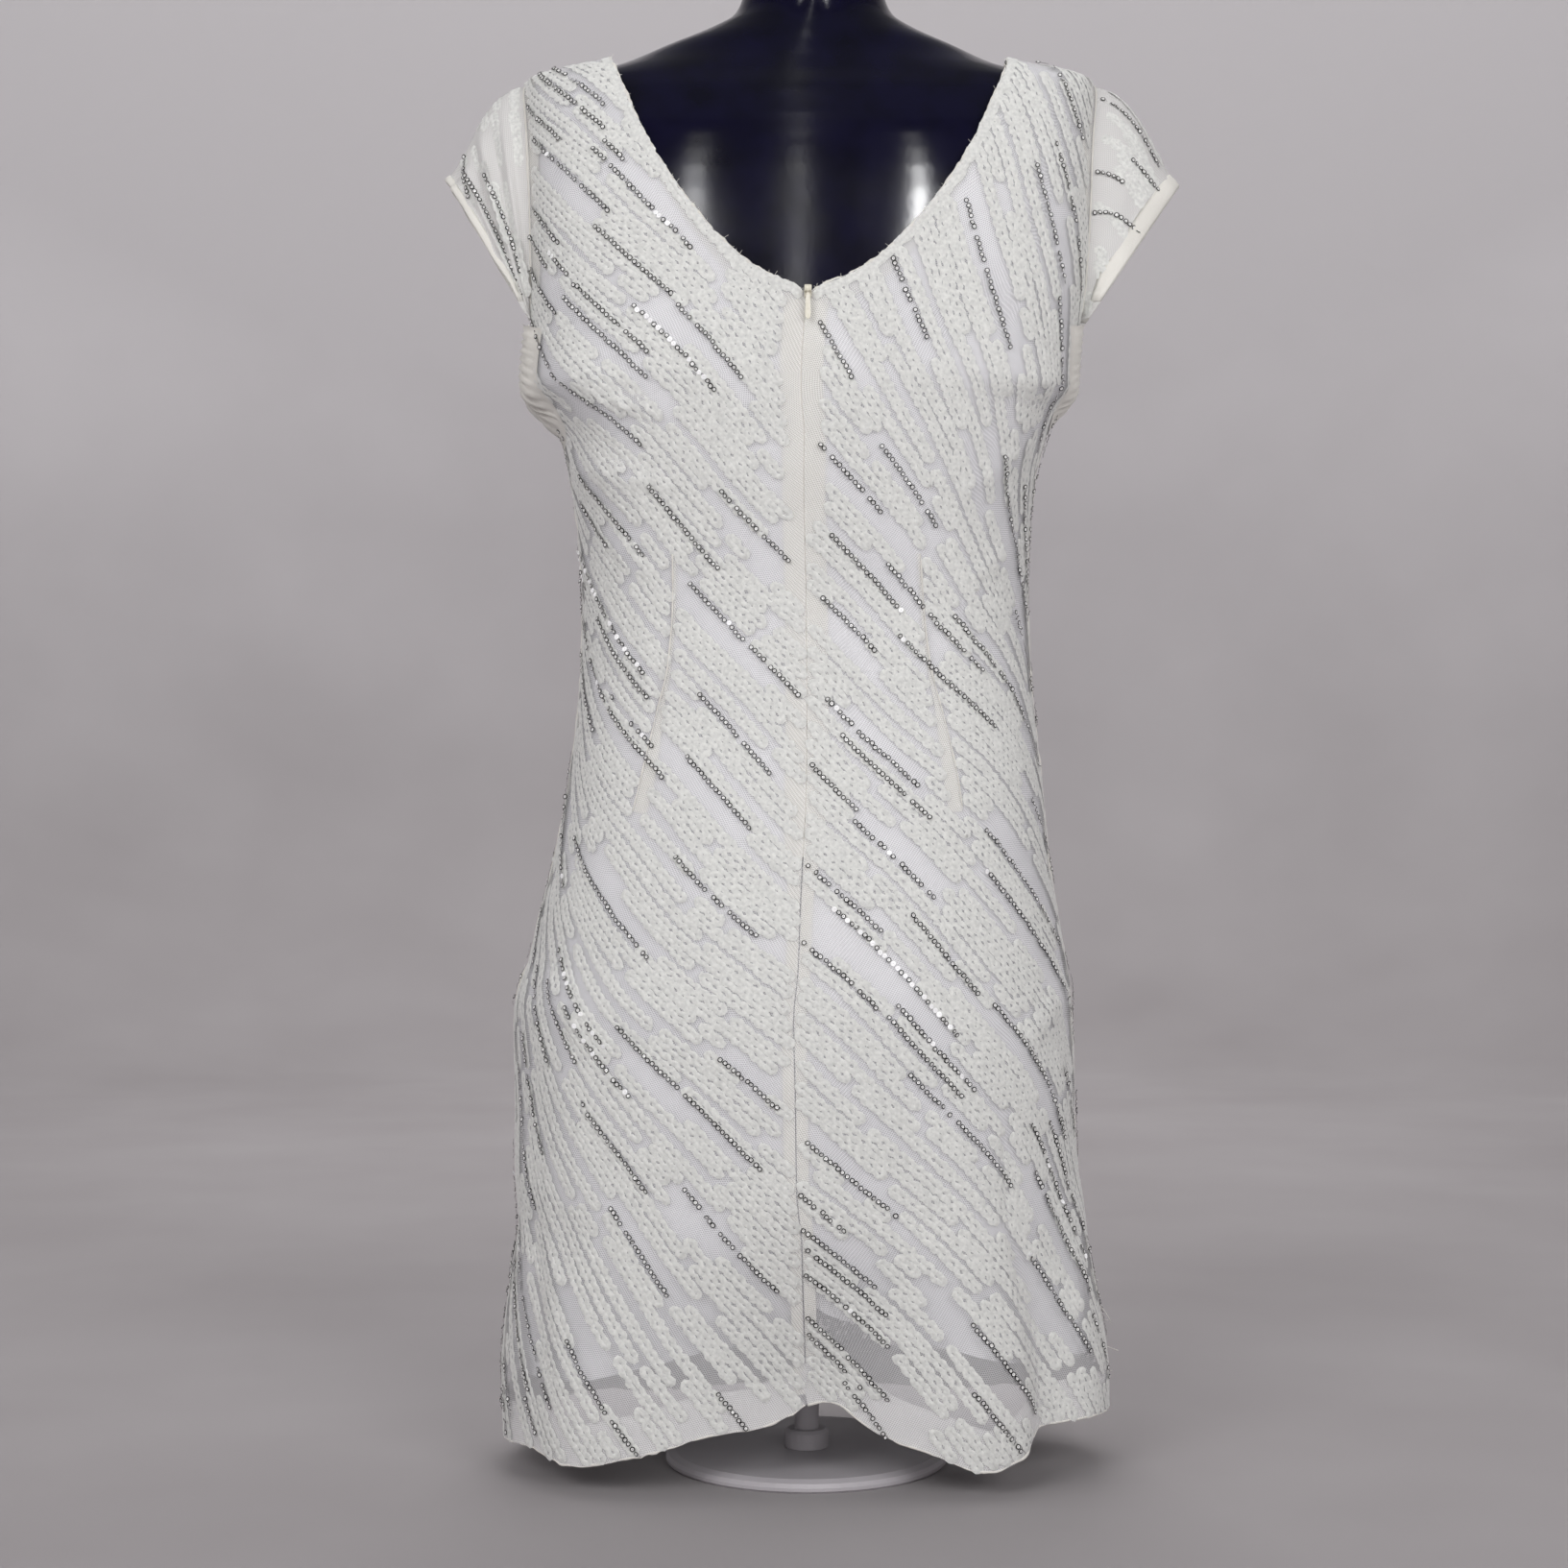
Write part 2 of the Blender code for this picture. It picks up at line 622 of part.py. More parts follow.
def zip_line_points(side, distance):
    """Points of a back panel at its centre edge and a tape's half width from it, up the zip."""
    angle, height = half_panel(-1, side, "shell", zip_gap)
    grid = moved(cloth_surface, angle, height, distance)[:, :2]
    low = sum(band.rows for band in ROW_BANDS[:3])
    top = np.searchsorted(height[:, 0], BACK_NECK - 1)
    edge, beside = grid[low : top + 1, 0], grid[low : top + 1, 1]
    width = np.linalg.norm(beside - edge, axis=1)[:, None]
    beside = edge + (beside - edge) * ZIP_TAPE_HALF / width
    rows = np.stack([edge, beside], axis=1)
    rows[0] += (rows[1] - rows[0]) * TAPE_FOOT_TRIM
    rows[-1] += (rows[-2] - rows[-1]) * TAPE_HEAD_TRIM
    return rows


def make_zip_tape():
    """The woven band of the concealed zip, behind the centre back edges of the shell."""
    walls = []
    for distance in (-(SHELL_WALL + LAYER_GAP), -(SHELL_WALL + LAYER_GAP + LINING_WALL)):
        left, right = (zip_line_points(side, distance) for side in (-1, 1))
        middle = 0.5 * (left[:, :1] + right[:, :1])
        walls.append(np.concatenate([left[:, 1:], middle, right[:, 1:]], axis=1))
    wall("zip_tape", [(walls[0], walls[1], False)], "tape")


def armhole_points(side, columns, first, last, distance):
    """Points of the back and front panels beside the armhole, from back to front.

    columns are the panels' columns to read, first and last the rows of the yoke.
    """
    tube_rows = sum(band.rows for band in ROW_BANDS)
    halves = []
    for face, gap in ((-1, zip_gap), (1, no_gap)):
        angle, height = half_panel(face, side, "shell", gap)
        rows = slice(tube_rows + first, tube_rows + last + 1)
        halves.append(moved(cloth_surface, angle, height, distance)[rows, columns])
    return halves


def sleeve_edges(sleeve):
    """Points of a cap sleeve's root on the armhole and of its hem, both from back to front."""
    first = SEAM_ROWS + BINDING_ROWS
    back, front = armhole_points(sleeve.side, -1, first, YOKE_ROWS, 0.0)
    root = np.concatenate([back, front[::-1][1:]])
    root[len(back) - 1] = 0.5 * (back[-1] + front[-1])
    swing = np.linspace(-1, 1, len(root))
    arch = np.cos(0.5 * math.pi * swing)
    base = np.abs(root[:, 0]).min() + SLEEVE_END_LENGTH
    hem = np.empty_like(root)
    hem[:, 0] = sleeve.side * (base + (sleeve.tip_x - base) * arch)
    hem[:, 1] = SLEEVE_DEPTH * np.sin(0.5 * math.pi * swing)
    hem[:, 2] = SLEEVE_START + (sleeve.tip_z - SLEEVE_START) * arch
    root[:, 0] += sleeve.side * SLEEVE_CLEAR
    return root, hem, arch


def sleeve_grid(sleeve):
    """Points of a cap sleeve's outside, from its root to its hem. The last row is the hem band."""
    root, hem, arch = sleeve_edges(sleeve)
    band = np.minimum(SLEEVE_BAND / np.linalg.norm(hem - root, axis=1), SLEEVE_BAND_SHARE)
    share = np.concatenate([np.linspace(0, 1 - band, SLEEVE_ROWS), np.ones((1, len(root)))])[..., None]
    lift = np.array([SLEEVE_LIFT_OUT * sleeve.side, 0, SLEEVE_LIFT_UP])
    lift = lift * sleeve.rise * arch[:, None]
    return root + (hem - root) * share + 4 * share * (1 - share) * lift


def grid_normals(grid, flip):
    """Unit normals of a grid of points."""
    normal = np.cross(np.gradient(grid, axis=1), np.gradient(grid, axis=0))
    normal = normal / np.linalg.norm(normal, axis=-1, keepdims=True)
    return -normal if flip else normal


def make_sleeves():
    """The two cap sleeves, and the turned hem of each as a strip that lies on it."""
    for sleeve in SLEEVES:
        flip = sleeve.side > 0
        grid = sleeve_grid(sleeve)
        normal = grid_normals(grid, flip)
        wall(f"sleeve_{sleeve.name}", [(grid, grid - SHELL_WALL * normal, flip)], "net")
        strip, out = grid[-2:, 1:-1], normal[-2:, 1:-1]
        low = strip + BAND_LIFT * out
        high = low + BAND_WALL * out
        wall(f"sleeve_band_{sleeve.name}", [(high, low, flip)], "trim")


def make_armhole_bindings():
    """The turned edge under each arm, from one end of the sleeve to the other."""
    last = SEAM_ROWS + BINDING_ROWS
    for sleeve in SLEEVES:
        walls = []
        for distance in (BINDING_LIFT + BAND_WALL, BINDING_LIFT):
            halves = armhole_points(sleeve.side, slice(-2, None), SEAM_ROWS, last, distance)
            for half in halves:
                half[-1] += (half[-2] - half[-1]) * BINDING_TRIM
            walls.append(np.concatenate([halves[0][::-1], halves[1]]))
        name = f"armhole_binding_{sleeve.name}"
        wall(name, [(walls[0], walls[1], sleeve.side > 0)], "trim")


def ring_angles():
    """Angles round the form, on the same columns as the panels."""
    lean = {face: (1 - panel_columns(face)) * math.pi / 2 for face in (-1, 1)}
    right = np.concatenate([turned(-1, 1, lean[-1]), turned(1, 1, lean[1])[::-1][1:]])
    left = np.concatenate([turned(1, -1, lean[1])[1:], turned(-1, -1, lean[-1])[::-1][1:-1]])
    return np.concatenate([right, left])


def make_form():
    """The torso form: rings inside the lining, closed by a rounded bottom and a flat neck."""
    angle = ring_angles()
    count = len(angle)
    layers = SHELL_WALL + LAYER_GAP + LINING_WALL
    start = FORM_BOTTOM + FORM_EDGE_ROUND
    tube = [level for level in tube_levels(0.0) if level > start + FORM_EDGE_ROUND]
    # Each ring is its height, the height its outline is read at, and how far it is drawn in.
    corner = FORM_EDGE_ROUND * (1 - math.sqrt(1 - (1 - FORM_EDGE_STEP / FORM_EDGE_ROUND) ** 2))
    rings = [(FORM_BOTTOM, start, FORM_EDGE_ROUND)]
    rings += [(FORM_BOTTOM + FORM_EDGE_STEP, start, corner), (start, start, 0)]
    rings += [(level, level, 0) for level in tube + FORM_LEVELS + [FORM_TOP]]
    points = []
    for level, read, inset in rings:
        depth = layers + section_column("ease", read) + inset
        ring = moved(body_surface, angle, np.full(count, float(read)), -depth)
        if level != read or level == FORM_TOP:
            ring[:, 2] = level
        points.append(ring)
    faces = []
    for i in range(len(rings) - 1):
        for j in range(count):
            k = (j + 1) % count
            base, above = i * count, (i + 1) * count
            faces.append([base + j, base + k, above + k, above + j])
    faces.append(list(range(count))[::-1])
    faces.append([(len(rings) - 1) * count + j for j in range(count)])
    mesh = bpy.data.meshes.new("form_torso")
    mesh.from_pydata(np.concatenate(points) * MM, [], faces)
    mesh.validate()
    return place("form_torso", mesh, "form")


def turned_piece(name, profile, foot, finish, steps):
    """A turned piece: its outline as (radius, height over its foot), top to bottom, on a Screw."""
    mesh = bpy.data.meshes.new(name)
    points = [(radius * MM, 0, height * MM) for radius, height in profile]
    mesh.from_pydata(points, [(i, i + 1) for i in range(len(points) - 1)], [])
    piece = bpy.data.objects.new(name, mesh)
    bpy.data.collections[COLLECTION].objects.link(piece)
    mesh.materials.append(material(finish))
    piece.location = np.array(foot) * MM
    screw = piece.modifiers.new("turn", "SCREW")
    screw.steps = screw.render_steps = steps
    screw.use_merge_vertices = True
    screw.merge_threshold = 0.00005


def make_stand():
    """The cap on the form's neck, the socket under it, and the pole in its collar on the base."""
    neck = (section_column("shift", FORM_TOP), 2.0, FORM_TOP + TOUCH)
    cap = [(NECK_CAP_RADIUS - step.inset, step.height) for step in NECK_CAP_OUTLINE]
    turned_piece("form_neck_cap", [(0, NECK_CAP_HEIGHT)] + cap + [(0, 0)], neck, "steel", 40)

    loose = POLE_RADIUS + TOUCH
    under_flange = SOCKET_DEPTH - FLANGE_THICK
    socket = [(0, SOCKET_DEPTH), (FLANGE_RADIUS, SOCKET_DEPTH), (FLANGE_RADIUS, under_flange)]
    socket += [(SOCKET_RADIUS, under_flange - FLANGE_FILLET), (SOCKET_RADIUS, 0), (loose, 0)]
    socket += [(loose, SOCKET_DEPTH - SOCKET_BORE), (0, SOCKET_DEPTH - SOCKET_BORE)]
    socket_foot = FORM_BOTTOM - TOUCH - SOCKET_DEPTH
    turned_piece("form_socket", socket, (0, 0, socket_foot), "steel", 40)

    pole_foot = BASE_THICK + TOUCH
    tall = socket_foot + SOCKET_DEPTH - SOCKET_BORE - TOUCH - pole_foot
    pole = [(0, tall), (POLE_RADIUS - POLE_EDGE, tall), (POLE_RADIUS, tall - POLE_EDGE)]
    pole += [(POLE_RADIUS, 0), (0, 0)]
    turned_piece("stand_pole", pole, (0, 0, pole_foot), "stand", 40)

    ring = loose + COLLAR_WALL
    collar = [(loose, COLLAR_HEIGHT), (ring - COLLAR_EDGE, COLLAR_HEIGHT)]
    collar += [(ring, COLLAR_HEIGHT - COLLAR_EDGE)]
    collar += [(ring, 0), (loose, 0), (loose, COLLAR_HEIGHT)]
    turned_piece("stand_collar", collar, (0, 0, pole_foot), "stand", 40)

    base = [(BASE_RADIUS - step.inset, step.height) for step in BASE_OUTLINE]
    turned_piece("stand_base", [(0, BASE_THICK)] + base + [(0, 0)], (0, 0, 0), "stand", 56)


def bar_place():
    """Where the slider's bar is: its height, and its distance behind the middle of the body."""
    height = SLIDER_TOP - 0.5 * SLIDER_HEIGHT
    return height, -section_column("back", height) - SLIDER_CLEAR - SLIDER_DEPTH - BAR_OUT


def cylinder(radius, depth, location, vertices):
    """A bmesh cylinder along X, in millimetres."""
    shape = bmesh.new()
    bmesh.ops.create_cone(
        shape, cap_ends=True, segments=vertices, radius1=radius, radius2=radius, depth=depth
    )
    turn = np.array([[0, 0, 1], [0, 1, 0], [-1, 0, 0]])
    for vertex in shape.verts:
        vertex.co = turn @ np.array(vertex.co) + np.array(location)
    return shape


def solid_from(name, shape, collection, finish=None):
    """A new object in millimetres scaled to metres from a bmesh."""
    bmesh.ops.recalc_face_normals(shape, faces=shape.faces)
    for vertex in shape.verts:
        vertex.co = vertex.co * MM
    mesh = bpy.data.meshes.new(name)
    shape.to_mesh(mesh)
    shape.free()
    piece = bpy.data.objects.new(name, mesh)
    bpy.data.collections[collection].objects.link(piece)
    if finish:
        mesh.materials.append(material(finish))
    else:
        piece.hide_render = True
        piece.display_type = "WIRE"
    return piece


def box_shape(size, location):
    shape = bmesh.new()
    bmesh.ops.create_cube(shape, size=1)
    for vertex in shape.verts:
        vertex.co = np.array(vertex.co) * np.array(size) + np.array(location)
    return shape


def add_boolean(piece, other, operation):
    modifier = piece.modifiers.new(f"{operation.lower()}_{other.name}", "BOOLEAN")
    modifier.operation = operation
    modifier.object = other
    modifier.solver = "EXACT"


def make_slider():
    """The slider's body on the cloth, with two ears and the bar that the tab hangs on."""
    height, depth = bar_place()
    face_y = depth + BAR_OUT
    middle = (0, face_y + 0.5 * SLIDER_DEPTH, height)
    body = box_shape((SLIDER_WIDTH, SLIDER_DEPTH, SLIDER_HEIGHT), middle)
    slider = solid_from("zip_slider", body, COLLECTION, "zip")
    edge = slider.modifiers.new("rounded", "BEVEL")
    edge.width = SLIDER_EDGE * MM
    edge.segments = 2
    half = 0.5 * TAB_TOP_WIDTH + TOUCH + 0.5 * EAR_THICK
    for side, side_name in ((-1, "left"), (1, "right")):
        round_end = cylinder(EAR_RADIUS, EAR_THICK, (side * half, depth, height), 16)
        neck_size = (EAR_THICK, BAR_OUT + SLIDER_EDGE, 1.5 * EAR_RADIUS)
        neck = box_shape(neck_size, (side * half, depth + 0.5 * neck_size[1], height))
        add_boolean(slider, solid_from(f"ear_round_{side_name}", round_end, "cutters"), "UNION")
        add_boolean(slider, solid_from(f"ear_neck_{side_name}", neck, "cutters"), "UNION")
    bar = cylinder(BAR_RADIUS, 2 * half, (0, depth, height), 12)
    add_boolean(slider, solid_from("slider_bar", bar, "cutters"), "UNION")


def make_pull_tab():
    """The tab: a narrow eye on the bar, widening to a long drop with a rounded end."""
    height, depth = bar_place()
    shape = bmesh.new()
    right = [shape.verts.new((0.5 * step.width, 0, -step.down)) for step in TAB_OUTLINE]
    left = [shape.verts.new((-0.5 * step.width, 0, -step.down)) for step in reversed(TAB_OUTLINE)]
    grown = bmesh.ops.extrude_face_region(shape, geom=[shape.faces.new(right + left)])
    for item in grown["geom"]:
        if isinstance(item, bmesh.types.BMVert):
            item.co.y += TAB_THICK
    for vertex in shape.verts:
        vertex.co.y -= 0.5 * TAB_THICK
    tab = solid_from("zip_pull", shape, COLLECTION, "zip")
    tab.location = (0, depth * MM, height * MM)
    barrel = solid_from("tab_barrel", cylinder(TAB_BARREL, TAB_TOP_WIDTH, (0, 0, 0), 20), "cutters")
    hole = solid_from("tab_eye", cylinder(TAB_EYE, 3 * TAB_TOP_WIDTH, (0, 0, 0), 16), "cutters")
    for cutter in (barrel, hole):
        cutter.parent = tab
    add_boolean(tab, barrel, "UNION")
    add_boolean(tab, hole, "DIFFERENCE")


def main():
    for old in list(bpy.data.objects):
        bpy.data.objects.remove(old, do_unlink=True)
    for name in (COLLECTION, "cutters"):
        bpy.context.scene.collection.children.link(bpy.data.collections.new(name))
    make_shell()
    make_lining()
    make_zip_tape()
    make_sleeves()
    make_armhole_bindings()
    make_form()
    make_stand()
    make_slider()
    make_pull_tab()


main()
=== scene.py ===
import math
from collections import deque

import bpy
import numpy as np
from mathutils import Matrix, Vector


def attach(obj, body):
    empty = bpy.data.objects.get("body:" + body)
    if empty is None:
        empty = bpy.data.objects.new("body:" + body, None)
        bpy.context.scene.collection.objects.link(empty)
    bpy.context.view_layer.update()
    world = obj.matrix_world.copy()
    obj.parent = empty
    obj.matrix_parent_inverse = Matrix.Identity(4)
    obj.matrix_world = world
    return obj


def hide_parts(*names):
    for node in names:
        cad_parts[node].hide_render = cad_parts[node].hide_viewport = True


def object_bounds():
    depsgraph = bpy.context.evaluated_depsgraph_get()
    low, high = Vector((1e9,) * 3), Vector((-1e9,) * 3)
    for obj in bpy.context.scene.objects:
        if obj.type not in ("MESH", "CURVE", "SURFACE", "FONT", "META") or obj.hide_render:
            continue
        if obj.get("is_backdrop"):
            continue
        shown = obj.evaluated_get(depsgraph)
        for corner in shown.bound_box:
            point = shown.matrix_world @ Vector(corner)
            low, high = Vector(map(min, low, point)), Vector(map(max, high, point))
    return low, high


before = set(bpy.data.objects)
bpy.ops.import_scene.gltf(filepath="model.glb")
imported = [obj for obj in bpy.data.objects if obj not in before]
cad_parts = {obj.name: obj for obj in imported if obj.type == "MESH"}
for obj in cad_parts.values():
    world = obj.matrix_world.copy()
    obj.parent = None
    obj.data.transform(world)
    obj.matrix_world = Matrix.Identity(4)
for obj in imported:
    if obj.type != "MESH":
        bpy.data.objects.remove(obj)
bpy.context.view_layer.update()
print("frame loaded")

mm = 0.001
chance = np.random.default_rng(519)

# The cut, in millimetres. Angles run round the body: -90 centre back, 0 wearer's right side,
# 90 centre front, 180 left side. A lean is 90 degrees at a panel's centre line, 0 at its side.
cut = {
    "yokeStart": 655.0,
    "underarm": 690.0,
    "shoulderEnd": 897.0,
    "highShoulder": 912.0,
    "backNeck": 752.0,
    "frontNeck": 812.0,
    "neckHalfWidth": 129.0,
    "frontNeckRounding": 0.9,
    "zipEnd": 396.0,
    "armholeBack": 36.0,
    "armholeFront": 44.0,
    "sleeveStart": 739.0,
    "seamGap": 0.3,
    "zipLineGap": 0.6,
    "liningSink": 2.1,
    "liningFlareIn": 5.0,
    "tapeHalf": 6.0,
    "tapeClear": 0.8,
}

# height, half width, shift, back, front, back square, front square, ease over the form
sectionRows = np.array([
    (0, 197.0, 0.0, 112, 117, 0.10, 0.10, 2.0),
    (60, 197.0, -1.0, 115, 119, 0.10, 0.10, 2.0),
    (125, 189.0, -3.0, 118, 118, 0.10, 0.10, 2.0),
    (160, 183.0, -4.0, 120, 117, 0.10, 0.10, 2.0),
    (190, 182.0, -7.0, 121, 116, 0.10, 0.10, 2.0),
    (255, 182.0, -8.0, 123, 114, 0.10, 0.10, 2.0),
    (295, 181.5, -9.0, 122, 114, 0.10, 0.10, 2.0),
    (330, 174.0, -6.0, 118, 114, 0.10, 0.10, 2.0),
    (360, 168.0, -5.0, 114, 114, 0.10, 0.10, 2.2),
    (390, 161.5, -3.5, 109, 113, 0.10, 0.10, 2.5),
    (440, 154.5, -1.0, 99, 108, 0.10, 0.10, 3.5),
    (490, 148.5, -0.5, 89, 103, 0.10, 0.10, 4.0),
    (555, 145.0, -1.0, 84, 100, 0.11, 0.11, 4.0),
    (600, 146.5, -2.0, 88, 107, 0.12, 0.15, 3.5),
    (640, 151.5, -2.5, 93, 124, 0.16, 0.20, 2.5),
    (660, 155.5, -2.0, 95, 129, 0.18, 0.22, 2.5),
    (680, 164.0, -4.0, 97, 128, 0.20, 0.22, 3.5),
    (697, 178.0, -4.0, 98, 123, 0.22, 0.22, 5.0),
    (730, 180.0, -2.0, 97, 112, 0.22, 0.22, 5.0),
    (765, 183.0, 1.0, 95, 101, 0.22, 0.22, 4.0),
    (820, 186.0, 2.0, 91, 87, 0.22, 0.20, 3.0),
    (860, 187.0, 2.0, 84, 78, 0.20, 0.18, 3.5),
    (885, 187.5, 2.0, 74, 69, 0.18, 0.16, 4.5),
    (897, 185.0, 2.0, 66, 63, 0.16, 0.14, 4.5),
    (904, 160.0, 1.0, 61, 60, 0.12, 0.12, 3.5),
    (912, 129.0, 1.0, 56, 57, 0.08, 0.08, 2.5),
    (924, 99.0, 2.0, 51, 54, 0.05, 0.05, 1.5),
    (936, 70.0, 3.5, 47, 53, 0.00, 0.00, 1.1),
    (944, 56.0, 4.5, 46, 52, 0.00, 0.00, 1.1),
    (956, 50.5, 4.5, 46, 51, 0.00, 0.00, 1.1),
    (978, 49.0, 4.5, 46, 50, 0.00, 0.00, 1.1),
    (1000, 49.0, 4.5, 47, 51, 0.00, 0.00, 1.1),
])

# angle, height of the net's hem, push of its folds, height of the lining's hem
hemRows = np.array([
    (-90, 56, -24, 120), (-86, 58, -20, 112), (-78, 40, -11, 104), (-68, 27, 1, 95),
    (-59, 17, 8, 87), (-51, 23, 5, 82), (-43, 39, -7, 80), (-24, 41, 3, 80),
    (0, 36, 0, 82), (24, 27, 4, 82), (44, 31, -6, 84), (64, 22, 6, 82),
    (90, 28, -5, 86), (116, 21, 6, 82), (138, 28, -5, 82), (160, 20, 4, 76),
    (180, 20, 0, 72), (200, 22, 3, 68), (212, 24, 4, 67), (226, 18, 8, 69),
    (242, 27, 2, 80), (254, 39, -8, 90), (262, 42, -17, 94), (267, 49, -22, 100),
])
foldReach = {"outTop": 330.0, "outFull": 20.0, "inTop": 188.0, "inFull": 40.0, "depthLean": 1.6}

# face, side, startX, startZ, endX, endZ, width, depth: soft folds under the arms, then creases
folds = [
    (-1, -1, 168, 716, 92, 640, 15, 3.5),
    (-1, -1, 158, 664, 90, 596, 15, 3.0),
    (-1, 1, 170, 704, 112, 634, 15, 2.5),
    (1, -1, 160, 700, 100, 668, 15, 2.5),
    (1, 1, 162, 700, 104, 672, 15, 2.5),
    (-1, -1, 150, 688, 70, 664, 5, 1.8),
    (-1, -1, 148, 640, 62, 622, 6, 1.6),
    (-1, -1, 140, 610, 84, 560, 6, 1.4),
    (-1, 1, 150, 664, 84, 610, 6, 1.5),
    (-1, 1, 142, 600, 92, 560, 6, 1.2),
    (-1, -1, 174, 330, 120, 262, 8, 2.2),
    (-1, 1, 172, 322, 126, 262, 8, 2.0),
    (-1, -1, 182, 236, 168, 60, 7, 3.2),
    (-1, -1, 168, 220, 146, 40, 8, 2.6),
    (-1, 1, 178, 230, 170, 60, 8, 2.4),
    (1, -1, 150, 680, 60, 676, 6, 1.6),
    (1, 1, 150, 680, 60, 676, 6, 1.6),
    (1, -1, 136, 560, 40, 540, 8, 1.4),
    (1, 1, 136, 552, 44, 530, 8, 1.4),
    (-1, -1, 84, 585, 104, 440, 4, -1.2),
    (-1, 1, 72, 572, 96, 440, 4, -1.0),
]

backNeckline = np.array([
    (2, 745), (8, 750.5), (20, 755), (38, 765), (56, 781), (75, 803), (92, 827), (104, 848),
    (117, 878), (124, 896), (129, 912),
], float)


def curveThrough(x, y, at):  # a smooth curve through the points that never overshoots them
    x, y, at = (np.asarray(v, float) for v in (x, y, at))
    step = np.diff(x)
    slope = np.diff(y) / step
    before, after = slope[:-1], slope[1:]
    turning = before * after <= 0
    safeBefore = np.where(turning, 1.0, before)
    safeAfter = np.where(turning, 1.0, after)
    weightA = 2 * step[1:] + step[:-1]
    weightB = step[1:] + 2 * step[:-1]
    mean = (weightA + weightB) / (weightA / safeBefore + weightB / safeAfter)
    tangent = np.concatenate([[slope[0]], np.where(turning, 0.0, mean), [slope[-1]]])
    at = np.clip(at, x[0], x[-1])
    i = np.clip(np.searchsorted(x, at, side="right") - 1, 0, len(step) - 1)
    f = (at - x[i]) / step[i]
    bend = f * f * (3 - 2 * f)
    pull = f * (1 - f) ** 2 * tangent[i] + f * f * (f - 1) * tangent[i + 1]
    return y[i] + (y[i + 1] - y[i]) * bend + step[i] * pull


levelAt = np.arange(0, 1000.5, 0.5)
sectionNames = ["halfWidth", "shift", "back", "front", "backSquare", "frontSquare", "ease"]
sectionAt = {
    name: curveThrough(sectionRows[:, 0], sectionRows[:, k + 1], levelAt)
    for k, name in enumerate(sectionNames)
}
degreeAt = np.arange(-90, 270.25, 0.25)
hemWrapped = np.vstack([hemRows[-1] - (360, 0, 0, 0), hemRows, hemRows[0] + (360, 0, 0, 0)])
hemAt = {
    name: curveThrough(hemWrapped[:, 0], hemWrapped[:, k + 1], degreeAt)
    for k, name in enumerate(["shell", "push", "lining"])
}


def section(name, height):
    return np.interp(height, levelAt, sectionAt[name])


def hem(name, angle):
    return np.interp((np.degrees(angle) + 90) % 360 - 90, degreeAt, hemAt[name])


def smoothStep(low, high, value):
    f = np.clip((value - low) / (high - low), 0, 1)
    return f * f * (3 - 2 * f)


def unit(vectors):
    return vectors / np.linalg.norm(vectors, axis=-1, keepdims=True)


def runAlong(points):  # how far along a line each of its points lies
    return np.concatenate([[0], np.cumsum(np.linalg.norm(np.diff(points, axis=0), axis=1))])


def readAlong(at, run, values):  # a line's points or normals, read at new distances along it
    return np.stack([np.interp(at, run, values[:, k]) for k in range(3)], -1)


def sideways(points, normals):  # across a line, along the cloth
    return unit(np.cross(normals, np.gradient(points, axis=0)))


def bodySurface(angle, height):
    angle, height = np.broadcast_arrays(np.asarray(angle, float), np.asarray(height, float))
    c, s = np.cos(angle), np.sin(angle)
    behind = s < 0
    depth = np.where(behind, section("back", height), section("front", height))
    square = np.where(behind, section("backSquare", height), section("frontSquare", height))
    x = section("shift", height) + section("halfWidth", height) * c * (1 + square * s * s)
    return np.stack([x, depth * s * (1 + square * c * c), height], axis=-1)


hang = {"depth": 0.45, "across": 27.0, "along": 43.0}  # the cloth's slight unevenness


def foldLift(points):
    x, y, z = points[..., 0], points[..., 1], points[..., 2]
    slow = np.sin(z / hang["along"] - x / 61 + 1.3 * np.sign(y))
    drift = np.sin(x / hang["across"] + z / (2 * hang["along"])) * slow
    lift = hang["depth"] * (drift + 0.6 * np.sin(x / 13 + z / 19) * np.sin(z / 29 - x / 33))
    lift = lift * np.clip(np.abs(y) / 60, 0, 1)
    for face, side, startX, startZ, endX, endZ, width, depth in folds:
        start = np.array([side * startX, startZ], float)
        along = np.array([side * endX, endZ], float) - start
        length = np.linalg.norm(along)
        along = along / length
        flat = points[..., [0, 2]] - start
        run = flat @ along / length
        aside = flat @ np.array([-along[1], along[0]])
        ends = smoothStep(0, 0.35, run) * (1 - smoothStep(0.45, 1.0, run))
        ridge = depth * np.exp(-((aside / width) ** 2)) * ends
        lift += np.where(points[..., 1] * face > 0, ridge, 0)
    return lift


def clothSurface(angle, height):
    points = bodySurface(angle, height)
    angle = np.broadcast_to(angle, points.shape[:-1])
    out = unit(np.stack([np.cos(angle), foldReach["depthLean"] * np.sin(angle), 0 * angle], axis=-1))
    push, level = hem("push", angle), points[..., 2]
    skirt = np.maximum(push, 0) * (1 - smoothStep(foldReach["outFull"], foldReach["outTop"], level))
    skirt += np.minimum(push, 0) * (1 - smoothStep(foldReach["inFull"], foldReach["inTop"], level))
    return points + out * (skirt + foldLift(points))[..., None]


def slopes(surface, angle, height):  # how a point moves per radian and per millimetre of height
    turn, rise = 1e-3, 0.4
    roundBody = (surface(angle + turn, height) - surface(angle - turn, height)) / (2 * turn)
    upward = (surface(angle, height + rise) - surface(angle, height - rise)) / (2 * rise)
    return roundBody, upward


def outward(surface, angle, height):
    return unit(np.cross(*slopes(surface, angle, height)))


